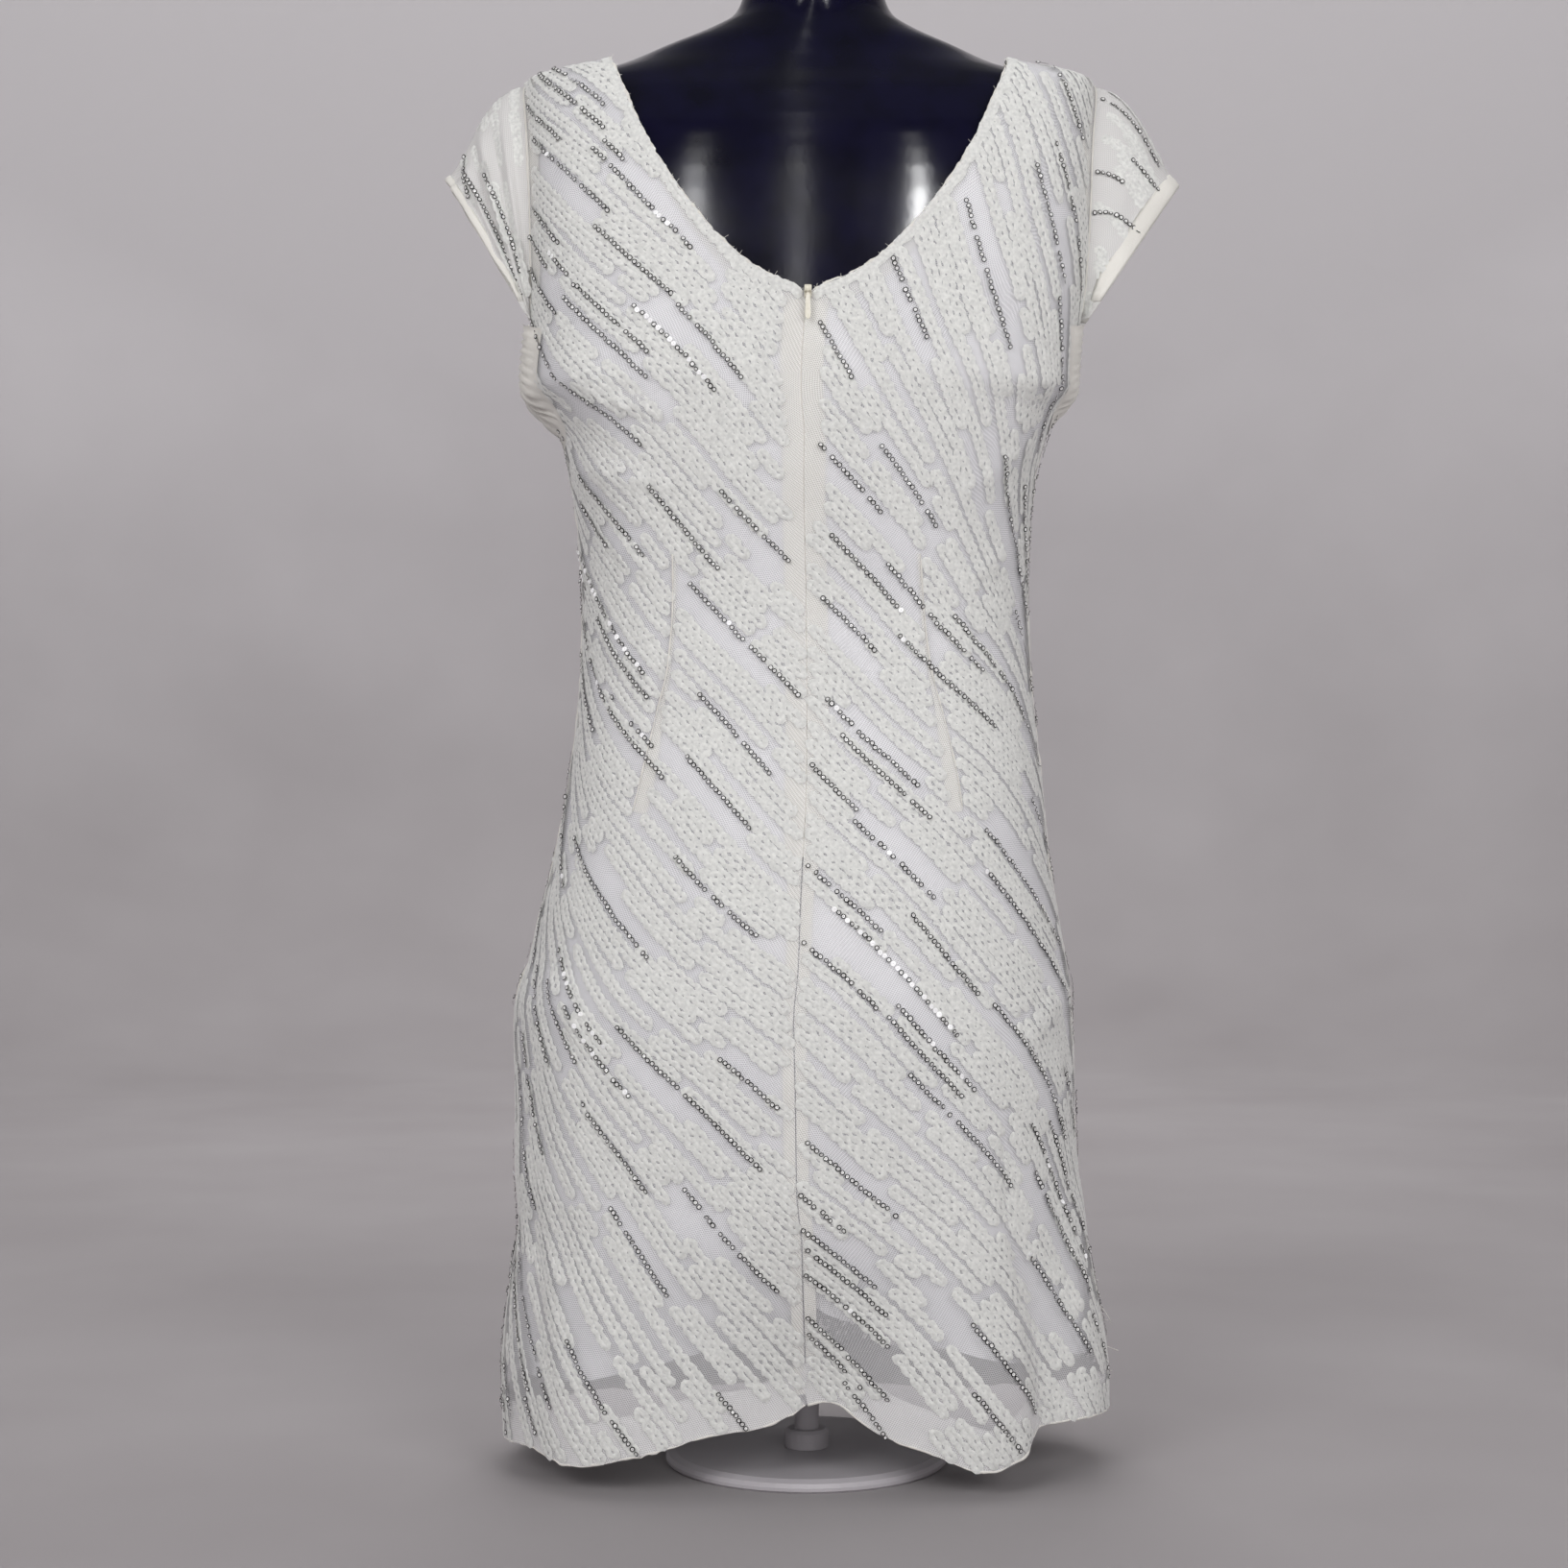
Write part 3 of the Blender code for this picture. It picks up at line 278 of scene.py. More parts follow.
def onCloth(angle, height, lift):
    lift = np.broadcast_to(lift, np.shape(angle))
    return clothSurface(angle, height) + outward(clothSurface, angle, height) * lift[..., None]


# the edges of the cut


def leanAt(face, height, value, axis):
    lean = np.linspace(math.pi / 2, 0, 361)
    found = []
    for z, wanted in zip(np.atleast_1d(height), np.atleast_1d(value)):
        points = bodySurface(face * lean, np.full(lean.shape, z))
        points[:, 0] -= section("shift", z)
        reach = np.abs(points[:, axis])
        order = np.argsort(reach)
        found.append(np.interp(wanted, reach[order], lean[order]))
    return np.array(found)


def seamLean(height):
    return 0.5 * cut["seamGap"] / section("back", height)


armholeMiddle = 0.5 * (cut["underarm"] + cut["shoulderEnd"])
armholeHalf = 0.5 * (cut["shoulderEnd"] - cut["underarm"])


def armhole(face, turn):
    reach = cut["armholeBack"] if face < 0 else cut["armholeFront"]
    height = armholeMiddle - armholeHalf * np.cos(turn)
    depth = np.maximum(reach * np.sin(turn), 0)
    return np.maximum(leanAt(face, height, depth, 1), seamLean(height)), height


def resampled(lean, height, count):
    points = bodySurface(lean, height)
    run = runAlong(points)
    at = np.linspace(0, run[-1], count)
    return np.interp(at, run, lean), np.interp(at, run, height)


# rows and columns of the panels: fine enough for their folds
density = {"columns": 44, "seamRows": 5, "underarmRows": 9, "sleeveHalf": 28, "bands": (26, 20, 9, 20, 12)}
bandTops = (160.0, 330.0, cut["zipEnd"], 560.0, cut["yokeStart"])
yokeRows = density["seamRows"] + density["underarmRows"] + density["sleeveHalf"]
sleeveTurn = math.acos((armholeMiddle - cut["sleeveStart"]) / armholeHalf)


def sideEdge(face):
    seamHeight = np.linspace(cut["yokeStart"], cut["underarm"], density["seamRows"] + 1)[:-1]
    edge = [np.stack([seamLean(seamHeight), seamHeight], -1)]
    spans = ((0, sleeveTurn, density["underarmRows"]), (sleeveTurn, math.pi, density["sleeveHalf"]))
    for first, last, rows in spans:
        lean, height = resampled(*armhole(face, np.linspace(first, last, 60)), rows + 1)
        edge.append(np.stack([lean, height], -1)[:-1])
    edge.append(np.array([[seamLean(cut["shoulderEnd"]), cut["shoulderEnd"]]]))
    return np.concatenate(edge)


def neckline(face, count):
    if face < 0:
        breadth, level = backNeckline.T
    else:
        swing = np.linspace(0, math.pi / 2, 13)
        breadth = cut["neckHalfWidth"] * np.sin(swing) ** cut["frontNeckRounding"]
        level = cut["highShoulder"] - (cut["highShoulder"] - cut["frontNeck"]) * np.cos(swing)
    run = np.concatenate([[0], np.cumsum(np.hypot(np.diff(breadth), np.diff(level)))])
    at = np.linspace(0, run[-1], count)
    breadth, level = curveThrough(run, breadth, at), curveThrough(run, level, at)
    lean = leanAt(face, level, breadth, 0)
    lean[-1] = seamLean(level[-1])
    return lean, level


def centreEdge(face, rows):
    neckLean, neckHeight = neckline(face, 60)
    rise = neckHeight[0] - cut["yokeStart"]
    points = bodySurface(neckLean, neckHeight)
    length = np.linalg.norm(np.diff(points, axis=0), axis=1).sum()
    straight = max(2, round(rows * rise / (rise + length)))
    level = np.linspace(cut["yokeStart"], neckHeight[0], straight + 1)
    lean = np.full(level.shape, math.pi / 2)
    neckLean, neckHeight = resampled(neckLean, neckHeight, rows - straight + 1)
    return np.concatenate([lean, neckLean[1:]]), np.concatenate([level, neckHeight[1:]])


def yoke(face, columns, rows):
    inner = np.stack(centreEdge(face, rows), -1)
    outer = sideEdge(face)
    lowerLean = np.interp(columns, [0, 1], [inner[0, 0], outer[0, 0]])
    lower = np.stack([lowerLean, np.full(len(columns), cut["yokeStart"])], -1)
    topHeight = np.linspace(inner[-1, 1], outer[-1, 1], len(columns))
    upper = np.stack([seamLean(topHeight), topHeight], -1)
    across, up = columns[None, :, None], np.linspace(0, 1, rows + 1)[:, None, None]
    sides = (1 - across) * inner[:, None] + across * outer[:, None]
    ends = (1 - up) * lower[None] + up * upper[None]
    corners = (1 - up) * ((1 - across) * lower[0] + across * lower[-1]) + up * (
        (1 - across) * upper[0] + across * upper[-1]
    )
    return sides + ends - corners


def panelColumns(face):  # closer together where the body turns
    lean = np.linspace(math.pi / 2, 0, 400)
    points = bodySurface(face * lean, np.full(lean.shape, cut["sleeveStart"]))[:, :2]
    step = np.diff(points, axis=0)
    run = np.concatenate([[0], np.cumsum(np.linalg.norm(step, axis=1))])
    heading = np.unwrap(np.arctan2(step[:, 1], step[:, 0]))
    bend = np.concatenate([[0], np.cumsum(np.abs(np.diff(heading))), [0]])
    bend[-1] = bend[-2]
    measure = run / run[-1] + 0.5 * bend / bend[-1]
    at = np.interp(np.linspace(0, measure[-1], density["columns"]), measure, lean)
    return 1 - at / (math.pi / 2)


def tubeLevels(low):
    levels = []
    for top, rows in zip(bandTops, density["bands"]):
        levels += [low + (top - low) * step / rows for step in range(rows)]
        low = np.full(np.shape(low), top)
    return levels


def turned(face, side, lean):
    angle = face * lean
    return angle if side > 0 else math.pi - angle


def halfPanel(face, side, hemName, gap):
    columns = panelColumns(face)
    floorAngle = turned(face, side, (1 - columns) * math.pi / 2)
    rows = []
    for level in tubeLevels(hem(hemName, floorAngle)):
        rows.append(np.stack([math.pi / 2 + (seamLean(level) - math.pi / 2) * columns, level], -1))
    grid = np.concatenate([np.array(rows), yoke(face, columns, yokeRows)])
    lean, height = grid[..., 0], grid[..., 1]
    inner = math.pi / 2 - gap(height[:, 0]) / section("halfWidth", height[:, 0])
    lean[:, 0] = np.minimum(lean[:, 0], inner)
    return turned(face, side, lean), height


def noGap(level):
    return np.zeros(np.shape(level))


def zipGap(level):  # the zip parts the backs a little; below it they are sewn together
    return 0.05 + (0.5 * cut["zipLineGap"] - 0.05) * smoothStep(cut["zipEnd"] - 8, cut["zipEnd"] + 4, level)


def liningGap(level):
    seam, besideZip = 0.5 * cut["seamGap"], cut["tapeHalf"] + cut["tapeClear"]
    return seam + (besideZip - seam) * smoothStep(cut["zipEnd"] - 34, cut["zipEnd"], level)


# meshes


def meshPiece(name, points, faces, materials, body="dress_on_form", slot=None, stage=False):
    mesh = bpy.data.meshes.new(name)
    faces = faces.tolist() if isinstance(faces, np.ndarray) else faces
    mesh.from_pydata((np.asarray(points, float) * mm).tolist(), [], faces)
    piece = bpy.data.objects.new(name, mesh)
    bpy.context.scene.collection.objects.link(piece)
    for material in materials if isinstance(materials, list) else [materials]:
        mesh.materials.append(material)
    mesh.shade_smooth()
    if stage:
        piece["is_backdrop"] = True
        return piece
    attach(piece, body)
    return piece


def gridFaces(rows, columns, flip=False, closed=False):
    i, j = np.meshgrid(np.arange(rows - 1), np.arange(columns if closed else columns - 1), indexing="ij")
    k = (j + 1) % columns
    a, b, c, d = i * columns + j, i * columns + k, (i + 1) * columns + k, (i + 1) * columns + j
    return np.stack([a, d, c, b] if flip else [a, b, c, d], -1).reshape(-1, 4)


def laidMap(piece, grid):  # the piece's own map, in metres along the cloth
    across = np.zeros(grid.shape[:2])
    across[:, 1:] = np.cumsum(np.linalg.norm(np.diff(grid, axis=1), axis=2), axis=1)
    across -= across.mean(axis=1, keepdims=True)
    upward = np.zeros(grid.shape[:2])
    upward[1:] = np.cumsum(np.linalg.norm(np.diff(grid, axis=0), axis=2), axis=0)
    flat = (np.stack([across, upward], -1) * mm).reshape(-1, 2)
    layer = piece.data.uv_layers.new(name="cloth")
    corner = np.empty(len(piece.data.loops), np.int32)
    piece.data.loops.foreach_get("vertex_index", corner)
    layer.data.foreach_set("uv", flat[corner].astype(np.float32).ravel())


def sheetPiece(name, grid, material, slot, flip=False, parting=None):
    faces = gridFaces(*grid.shape[:2], flip)
    if parting is not None:  # two halves that are one piece of cloth up to the neck
        faces = faces[faces.min(axis=1) % grid.shape[1] != parting]
    piece = meshPiece(name, grid.reshape(-1, 3), faces, material, slot=slot)
    laidMap(piece, grid)
    if parting is not None:
        inEditMode(piece, lambda: bpy.ops.mesh.remove_doubles(threshold=0.01 * mm))
    return piece


def crisp(piece):  # a cord's two low edges are sharp, so that its top is lit as one soft round
    mesh = piece.data
    ends = np.empty(2 * len(mesh.edges), np.int32)
    mesh.edges.foreach_get("vertices", ends)
    corner = ends.reshape(-1, 2) % 3
    sharp = (corner[:, 0] == corner[:, 1]) & (corner[:, 0] != 1)
    mesh.attributes.new("sharp_edge", "BOOLEAN", "EDGE").data.foreach_set("value", sharp)
    return piece


def inEditMode(piece, work):  # all of the piece is selected while the work is done
    bpy.ops.object.select_all(action="DESELECT")
    bpy.context.view_layer.objects.active = piece
    piece.select_set(True)
    bpy.ops.object.mode_set(mode="EDIT")
    bpy.ops.mesh.select_all(action="SELECT")
    work()
    bpy.ops.object.mode_set(mode="OBJECT")
    piece.select_set(False)


# materials


def linear(hexValue):
    parts = [int(hexValue[i:i + 2], 16) / 255 for i in (1, 3, 5)]
    return (*[p / 12.92 if p <= 0.04045 else ((p + 0.055) / 1.055) ** 2.4 for p in parts], 1)


def addNode(material, kind, settings=None, sockets=None):
    node = material.node_tree.nodes.new("ShaderNode" + kind)
    for key, value in (settings or {}).items():
        setattr(node, key, value)
    for key, value in (sockets or {}).items():
        if isinstance(value, bpy.types.NodeSocket):
            material.node_tree.links.new(value, node.inputs[key])
        else:
            node.inputs[key].default_value = value
    return node


def newMaterial(name, colour, roughness, sockets=None):
    material = bpy.data.materials.new(name)
    material.use_nodes = True
    shader = material.node_tree.nodes["Principled BSDF"]
    shader.inputs["Base Color"].default_value = linear(colour)
    shader.inputs["Roughness"].default_value = roughness
    for key, value in (sockets or {}).items():
        shader.inputs[key].default_value = value
    return material, shader


def objectPlace(material):
    return addNode(material, "TexCoord").outputs["Object"]


def clothMap(material):
    return addNode(material, "UVMap", {"uv_map": "cloth"}).outputs[0]


def noise(material, place, size, detail=3.0):  # size of its clouds, in millimetres
    sockets = {"Vector": place, "Scale": 1000 / size, "Detail": detail}
    return addNode(material, "TexNoise", None, sockets).outputs[0]


def tinted(material, shader, pattern, low, high, start=0.35, end=0.65):  # two colours by a pattern
    spread = addNode(material, "MapRange", None, {0: pattern, 1: start, 2: end})
    colours = {0: spread.outputs[0], 6: linear(low), 7: linear(high)}
    mix = addNode(material, "Mix", {"data_type": "RGBA"}, colours)
    material.node_tree.links.new(mix.outputs[2], shader.inputs["Base Color"])


def bumped(material, shader, pattern, distance, strength=1.0):  # distance in millimetres
    sockets = {"Height": pattern, "Distance": distance * mm, "Strength": strength}
    bump = addNode(material, "Bump", None, sockets)
    material.node_tree.links.new(bump.outputs[0], shader.inputs["Normal"])


def mottled(name, colour, roughness, tints, grain, sockets=None):  # a soft mix of two colours, finely uneven
    material, shader = newMaterial(name, colour, roughness, sockets)
    place = objectPlace(material)
    size, low, high = tints
    tinted(material, shader, noise(material, place, size, 2.0), low, high)
    size, distance, strength = grain
    bumped(material, shader, noise(material, place, size, 2.0), distance, strength)
    return material, shader


# Nylon tulle, knitted from fine white monofilament: staggered holes 1.4 mm apart. It is sheer.
def makeNet(name, colour, hole, thread):
    material, shader = newMaterial(name, colour, 0.6, {"Sheen Weight": 0.2, "Sheen Roughness": 0.4})
    scale = (1000 / 1.4, 1000 / 1.25, 1)  # a hole is 1.4 mm wide and 1.25 mm high
    place = addNode(material, "Mapping", None, {"Vector": clothMap(material), "Scale": scale})
    brick = addNode(material, "TexBrick", {"offset": 0.5, "squash": 1.0}, {
        "Vector": place.outputs[0], "Scale": 1.0, "Mortar Size": 0.16, "Mortar Smooth": 0.6,
        "Brick Width": 1.0, "Row Height": 1.0,
    })
    sheer = addNode(material, "MapRange", None, {0: brick.outputs[1], 3: hole, 4: thread})
    material.node_tree.links.new(sheer.outputs[0], shader.inputs["Alpha"])
    bumped(material, shader, brick.outputs[1], 0.2, 0.5)
    return material


# Satin lining, woven from polyester filament: a close smooth diagonal weave, cool white, low sheen.
def makeLining():
    material, shader = newMaterial("polyesterSatinWoven", "#eaeaec", 0.5, {"Sheen Weight": 0.15})
    place = clothMap(material)
    weave = addNode(material, "TexWave", {"wave_type": "BANDS", "bands_direction": "DIAGONAL"}, {
        "Vector": place, "Scale": 1000 / 1.2 / 20, "Distortion": 0.6,
    })
    tinted(material, shader, noise(material, objectPlace(material), 70, 2.0), "#e4e4e7", "#efeff1")
    bumped(material, shader, weave.outputs[1], 0.06, 0.5)
    return material


# Brushed acrylic cord, spun soft and couched down on the net: matt off-white with a fuzzy twist.
def makeCord():
    sheen = {"Sheen Weight": 0.3, "Sheen Roughness": 0.6}
    material, shader = newMaterial("acrylicCordCouched", "#e5e6e3", 0.85, sheen)
    place = objectPlace(material)
    fuzz = noise(material, place, 2.2, 3.0)
    tinted(material, shader, fuzz, "#d3d4d1", "#edeeea", 0.32, 0.68)
    bumped(material, shader, fuzz, 0.5, 0.7)
    return material


# Turned edges: folded layers of net and lining, stitched and pressed flat, warmer than one layer.
def makeEdge(name, low, high, alpha=1.0):
    sockets = {"Sheen Weight": 0.2, "Alpha": alpha}
    return mottled(name, low, 0.75, (34, low, high), (1.3, 0.3, 0.5), sockets)[0]


# Clear film sequins, punched from polyester. The rim is painted near-black, as painted shade and refraction
# where it cups, and painted darker lower down and paler higher up, as a painted reflection of the floor. The
# middle is clear film painted near-white and mostly opaque, as painted light over the shade each sequin casts
# on the cloth.
def makeSequin(name, low, high, size, settings, paintedPalerUpward=0.0):
    material, shader = newMaterial(name, low, 0.25, settings)
    place = objectPlace(material)
    # Painted reflection and shade: the colour runs darker lower down and paler higher up.
    height = addNode(material, "SeparateXYZ", None, {0: place}).outputs[2]
    rise = addNode(material, "MapRange", None, {0: height, 1: 0.4, 2: 0.85, 3: -0.6 * paintedPalerUpward, 4: paintedPalerUpward})
    cloud = noise(material, place, size, 2.0)
    shade = addNode(material, "Math", {"operation": "ADD"}, {0: cloud, 1: rise.outputs[0]})
    tinted(material, shader, shade.outputs[0], low, high)
    return material


netMaterial = makeNet("nylonTulleKnitted", "#f8f8fa", 0.28, 0.64)
doubleNetMaterial = makeNet("nylonTulleDoubled", "#f0efed", 0.84, 0.98)
sleeveNetMaterial = makeNet("nylonTulleFolded", "#e8e7e5", 0.8, 0.97)
liningMaterial = makeLining()
cordMaterial = makeCord()
edgeMaterial = makeEdge("turnedEdgePressed", "#e2e0d9", "#ebe9e2")
facingMaterial = makeEdge("seamAllowancePressed", "#f2f0e5", "#f9f8ee", 0.9)
neckMaterial = makeEdge("neckFacingPressed", "#f0efe9", "#f7f6f0", 0.6)
# The rim's near-black is painted shade and refraction darkness, not the film's own colour.
sequinRim = makeSequin("sequinRimPaintedDark", "#020202", "#2a2a28", 26, {"Specular IOR Level": 0.12}, 0.12)
# The middle's near-white, nearly opaque colour is painted light over the shade the sequin casts on the cloth.
sequinMiddle = makeSequin("sequinMiddlePaintedLight", "#eaeae8", "#fafaf8", 6, {"Alpha": 0.9, "Coat Weight": 0.2})
# Painted glint: a near-white, faintly glowing finish for a few sequins, standing in for their reflections of
# the lamps.
paintedGlintFinish = {"Coat Weight": 0.5, "Emission Strength": 0.12}
paintedGlintMaterial = makeSequin("sequinGlintPainted", "#fafafc", "#ffffff", 6, paintedGlintFinish)
print("fabrics mixed")

# net and lining

# the flat cut of what shows, in metres: width, length and area
panels = {
    "Front": {
        "face": 1, "side": 0, "node": "front",
        "flat": (0.525, 0.92, 0.383), "liningFlat": (0.5, 0.865, 0.347),
    },
    "BackLeft": {
        "face": -1, "side": -1, "node": "back_left",
        "flat": (0.267, 0.92, 0.184), "liningFlat": (0.264, 0.866, 0.166),
    },
    "BackRight": {
        "face": -1, "side": 1, "node": "back_right",
        "flat": (0.278, 0.924, 0.182), "liningFlat": (0.257, 0.865, 0.163),
    },
}


def panelGrid(panel, hemName, gap):  # columns in the order of the angle round the body
    face, side = panel["face"], panel["side"]
    if side:
        angle, height = halfPanel(face, side, hemName, gap)
        return (angle, height) if face * side < 0 else (angle[:, ::-1], height[:, ::-1])
    rightAngle, rightHeight = halfPanel(face, 1, hemName, gap)
    leftAngle, leftHeight = halfPanel(face, -1, hemName, gap)
    pairs = ((rightAngle, leftAngle), (rightHeight, leftHeight))
    return [np.concatenate([right[:, ::-1], left], axis=1) for right, left in pairs]


def liningDepth(level):  # how far under the net the lining hangs
    return cut["liningSink"] + cut["liningFlareIn"] * (1 - smoothStep(80, 170, level))


def printArea(piece):
    print(piece.name, "area", round(sum(face.area for face in piece.data.polygons), 4))


for name, panel in panels.items():
    isFront = panel["face"] > 0
    parting = density["columns"] - 1 if isFront else None
    net = clothSurface(*panelGrid(panel, "shell", noGap if isFront else zipGap))
    panel["net"] = sheetPiece("net" + name, net, netMaterial, "net", parting=parting)
    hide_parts("shell_" + panel["node"])
    angle, height = panelGrid(panel, "lining", noGap if isFront else liningGap)
    lining = onCloth(angle, height, -liningDepth(height))
    panel["lining"] = sheetPiece("lining" + name, lining, liningMaterial, "lining", parting=parting)
    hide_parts("lining_" + panel["node"])
    printArea(panel["net"])
    printArea(panel["lining"])
print("net and lining draped")

# turned edges and seam allowances, which lie along the edges of the cut


def dot(some, other):  # how far one way goes along another, for each pair
    return (some * other).sum(-1)


def walked(angle, height, side, distance):  # the line a distance in from an edge, on the cloth
    steps = max(1, math.ceil(np.abs(distance).max() / 3))
    angle, height = np.array(angle, float), np.array(height, float)
    tangent = unit(np.gradient(clothSurface(angle, height), axis=0))
    stride = (side * distance / steps)[:, None]
    for _ in range(steps):
        roundBody, upward = slopes(clothSurface, angle, height)
        move = unit(np.cross(unit(np.cross(roundBody, upward)), tangent)) * stride
        e, f, g = dot(roundBody, roundBody), dot(roundBody, upward), dot(upward, upward)
        p, q, whole = dot(roundBody, move), dot(upward, move), e * g - f * f
        angle, height = angle + (g * p - f * q) / whole, height + (e * q - f * p) / whole
    return angle, height


def edgeBand(name, angle, height, side, width, lift, material, slot="trim", lines=4, gather=None):
    ripple, pitch, puff = gather or (0.0, 7.0, 0.0)  # its ripples' height and length, and its lobe
    width = np.broadcast_to(np.asarray(width, float), np.shape(angle))
    run = runAlong(clothSurface(angle, height))
    grid = []
    for share in np.linspace(0, 1, lines):
        at = walked(angle, height, side, width * share) if share else (angle, height)
        full = ripple * math.sin(math.pi * min(1, share + 0.15))
        wave = full * np.sin(run * 2 * math.pi / pitch + 2 * share)
        proud = lift(at[1]) if callable(lift) else lift
        proud = proud * (1 - 0.7 * share if puff else 1) + puff * math.sin(math.pi * min(1, share + 0.2))
        grid.append(onCloth(*at, proud + wave))
    return sheetPiece(name, np.array(grid), material, slot, flip=side < 0)


def circles(sides, across, beside):  # points round a circle of radius 1, one circle for each place
    turn = np.linspace(0, 2 * math.pi, sides, endpoint=False)[None, :, None]
    return np.cos(turn) * across[:, None] + np.sin(turn) * beside[:, None]


def ladder(loop):  # the quads that close an even loop of points
    last = len(loop) - 1
    return [[loop[k], loop[k + 1], loop[last - 1 - k], loop[last - k]] for k in range(len(loop) // 2 - 1)]


def tube(points, normals, radius, sides=6):  # a cord's rings and faces, with its ends closed
    radius = np.broadcast_to(np.asarray(radius, float), (len(points),))[:, None, None]
    rings = points[:, None] + radius * circles(sides, sideways(points, normals), normals)
    foot = np.array(ladder(np.arange(sides)))
    faces = [gridFaces(len(points), sides, False, True), foot[:, ::-1], foot + (len(points) - 1) * sides]
    return rings.reshape(-1, 3), np.concatenate(faces)


def joinedParts(parts):
    points, faces, start = [], [], 0
    for some, quads in parts:
        points.append(some)
        faces.append(quads + start)
        start += len(some)
    return np.concatenate(points), np.concatenate(faces)


def lumpy(count, amount, knots=0.35):  # an uneven roll of cloth
    coarse = chance.normal(0, 1, int(count * knots) + 4)
    return 1 + amount * np.interp(np.linspace(0, len(coarse) - 1, count), np.arange(len(coarse)), coarse)


def lumpyWithin(count, amount, knots, least, most):  # uneven, but within limits
    return np.clip(lumpy(count, amount, knots), least, most)


def spaced(angle, height, step):  # an edge read again at even steps
    points = clothSurface(angle, height)
    run = runAlong(points)
    at = np.linspace(0, run[-1], int(run[-1] / step) + 2)
    return np.interp(at, run, angle), np.interp(at, run, height)


edges = {
    "hemTurnUp": 26.0,
    "liningTurnUp": 9.0,
    "centreAllowance": 13.0,
    "sideAllowance": 9.0,
    "armholeAllowance": 15.0,
    "shoulderAllowance": 10.0,
    "neckFacing": 15.0,
    "seamLift": -1.0,
    "zipAside": 0.0024,  # how far the backs' edges keep from the centre line, in radians
    "dartTip": 1.8,
    "dartWidening": 7.7,
    "dartTaper": (436, 520),
}
# each back's waist dart, from its foot up: heights, and how far out it lies
dartHeights = [424, 448, 486, 513, 550, 585]
darts = {"BackLeft": [108, 103, 94.5, 87.5, 84, 83], "BackRight": [98, 94, 85, 78, 74, 72]}
# rolls of cloth along the edges; sway and uneven are an amount, knots for each step, least and most
rolls = {
    "hem": {
        "size": 0.75, "lift": -0.6, "step": 2.4, "sway": (0.55, 0.5), "uneven": (0.35, 0.5, 0.4, 1.8),
    },
    "neck": {
        "size": 0.8, "lift": -0.7, "step": 1.8, "sway": (0.5, 0.6), "uneven": (0.4, 0.6, 0.4, 2.0),
    },
    "side": {"size": 1.1, "lift": 0.1, "step": 3.0, "uneven": (0.3, 0.35, -9, 9)},
    "dart": {"size": 0.55, "lift": 0.1, "uneven": (0.3, 0.35, -9, 9)},
    "armhole": {
        "size": 1.35, "lift": 0.5, "step": 2.2, "uneven": (0.35, 0.6, -9, 9), "swell": (0.45, 0.9),
    },
}
frays = {
    "radius": 0.13, "curl": 0.35, "count": 44, "lengths": (0.9, 2.8),
    "toZip": 1.6, "out": 0.4, "stray": 0.35,
}


def threads(name, starts, directions, lengths, radius=frays["radius"]):  # loose ends, each curling
    parts = []
    for start, direction, length in zip(starts, directions, lengths):
        curl = chance.normal(0, frays["curl"], 3)
        steps = np.linspace(0, 1, 6)[:, None]
        path = start + length * (direction * steps + curl * steps ** 2)
        side = unit(np.cross(direction + curl, np.array([0.2, 0.3, 1.0])))
        parts.append(tube(path, np.repeat(side[None], 6, axis=0), radius, 4))
    return meshPiece(name, *joinedParts(parts), edgeMaterial, slot="trim")


quarter = math.pi / 2
hemSpans = {"Front": (0.05, 179.95), "BackLeft": (180.05, 269.8), "BackRight": (-89.8, -0.05)}
onNet = {name: [] for name in panels}


def allowance(panelName, title, angle, level, side, width, lift=edges["seamLift"], material=facingMaterial):
    onNet[panelName].append(edgeBand(title, angle, level, side, width, lift, material))


def addRoll(panelName, kind, title, angle, height):  # a round roll of cloth along an edge or a seam
    roll = rolls[kind]
    if "step" in roll:
        angle, height = spaced(angle, height, roll["step"])
    path = onCloth(angle, height, roll["lift"])
    if "sway" in roll:
        path[:, 2] += roll["size"] * (lumpy(len(path), *roll["sway"]) - 1)
    base, swell = roll.get("swell", (1.0, 0.0))
    fullness = base + swell * np.sin(math.pi * np.linspace(0, 1, len(path)))
    out = outward(clothSurface, angle, height)
    rim = tube(path, out, roll["size"] * fullness * lumpyWithin(len(path), *roll["uneven"]))
    onNet[panelName].append(meshPiece(title, *rim, edgeMaterial, slot="trim"))
    return path, out


def dartLine(name, count):  # a back's dart on the cloth, from its foot up
    level = np.linspace(dartHeights[0], dartHeights[-1], count)
    lean = leanAt(-1, level, curveThrough(dartHeights, darts[name], level), 0)
    return turned(-1, panels[name]["side"], lean), level


def dartWidth(level, tip, widening):  # widest at its foot
    return tip + widening * (1 - smoothStep(*edges["dartTaper"], level))


for name, (first, last) in hemSpans.items():
    span = np.radians(np.linspace(first, last, 181 if name == "Front" else 91))
    low = hem("shell", span)
    onNet[name].append(edgeBand("hemTurnUp" + name, span, low, 1, edges["hemTurnUp"], edges["seamLift"],
                                doubleNetMaterial, "net", 8))
    addRoll(name, "hem", "hemRoll" + name, span, low)
    low = hem("lining", span)
    panels[name]["liningHem"] = edgeBand("liningHem" + name, span, low, 1, edges["liningTurnUp"],
                                         lambda level: 0.35 - liningDepth(level), liningMaterial, "lining")

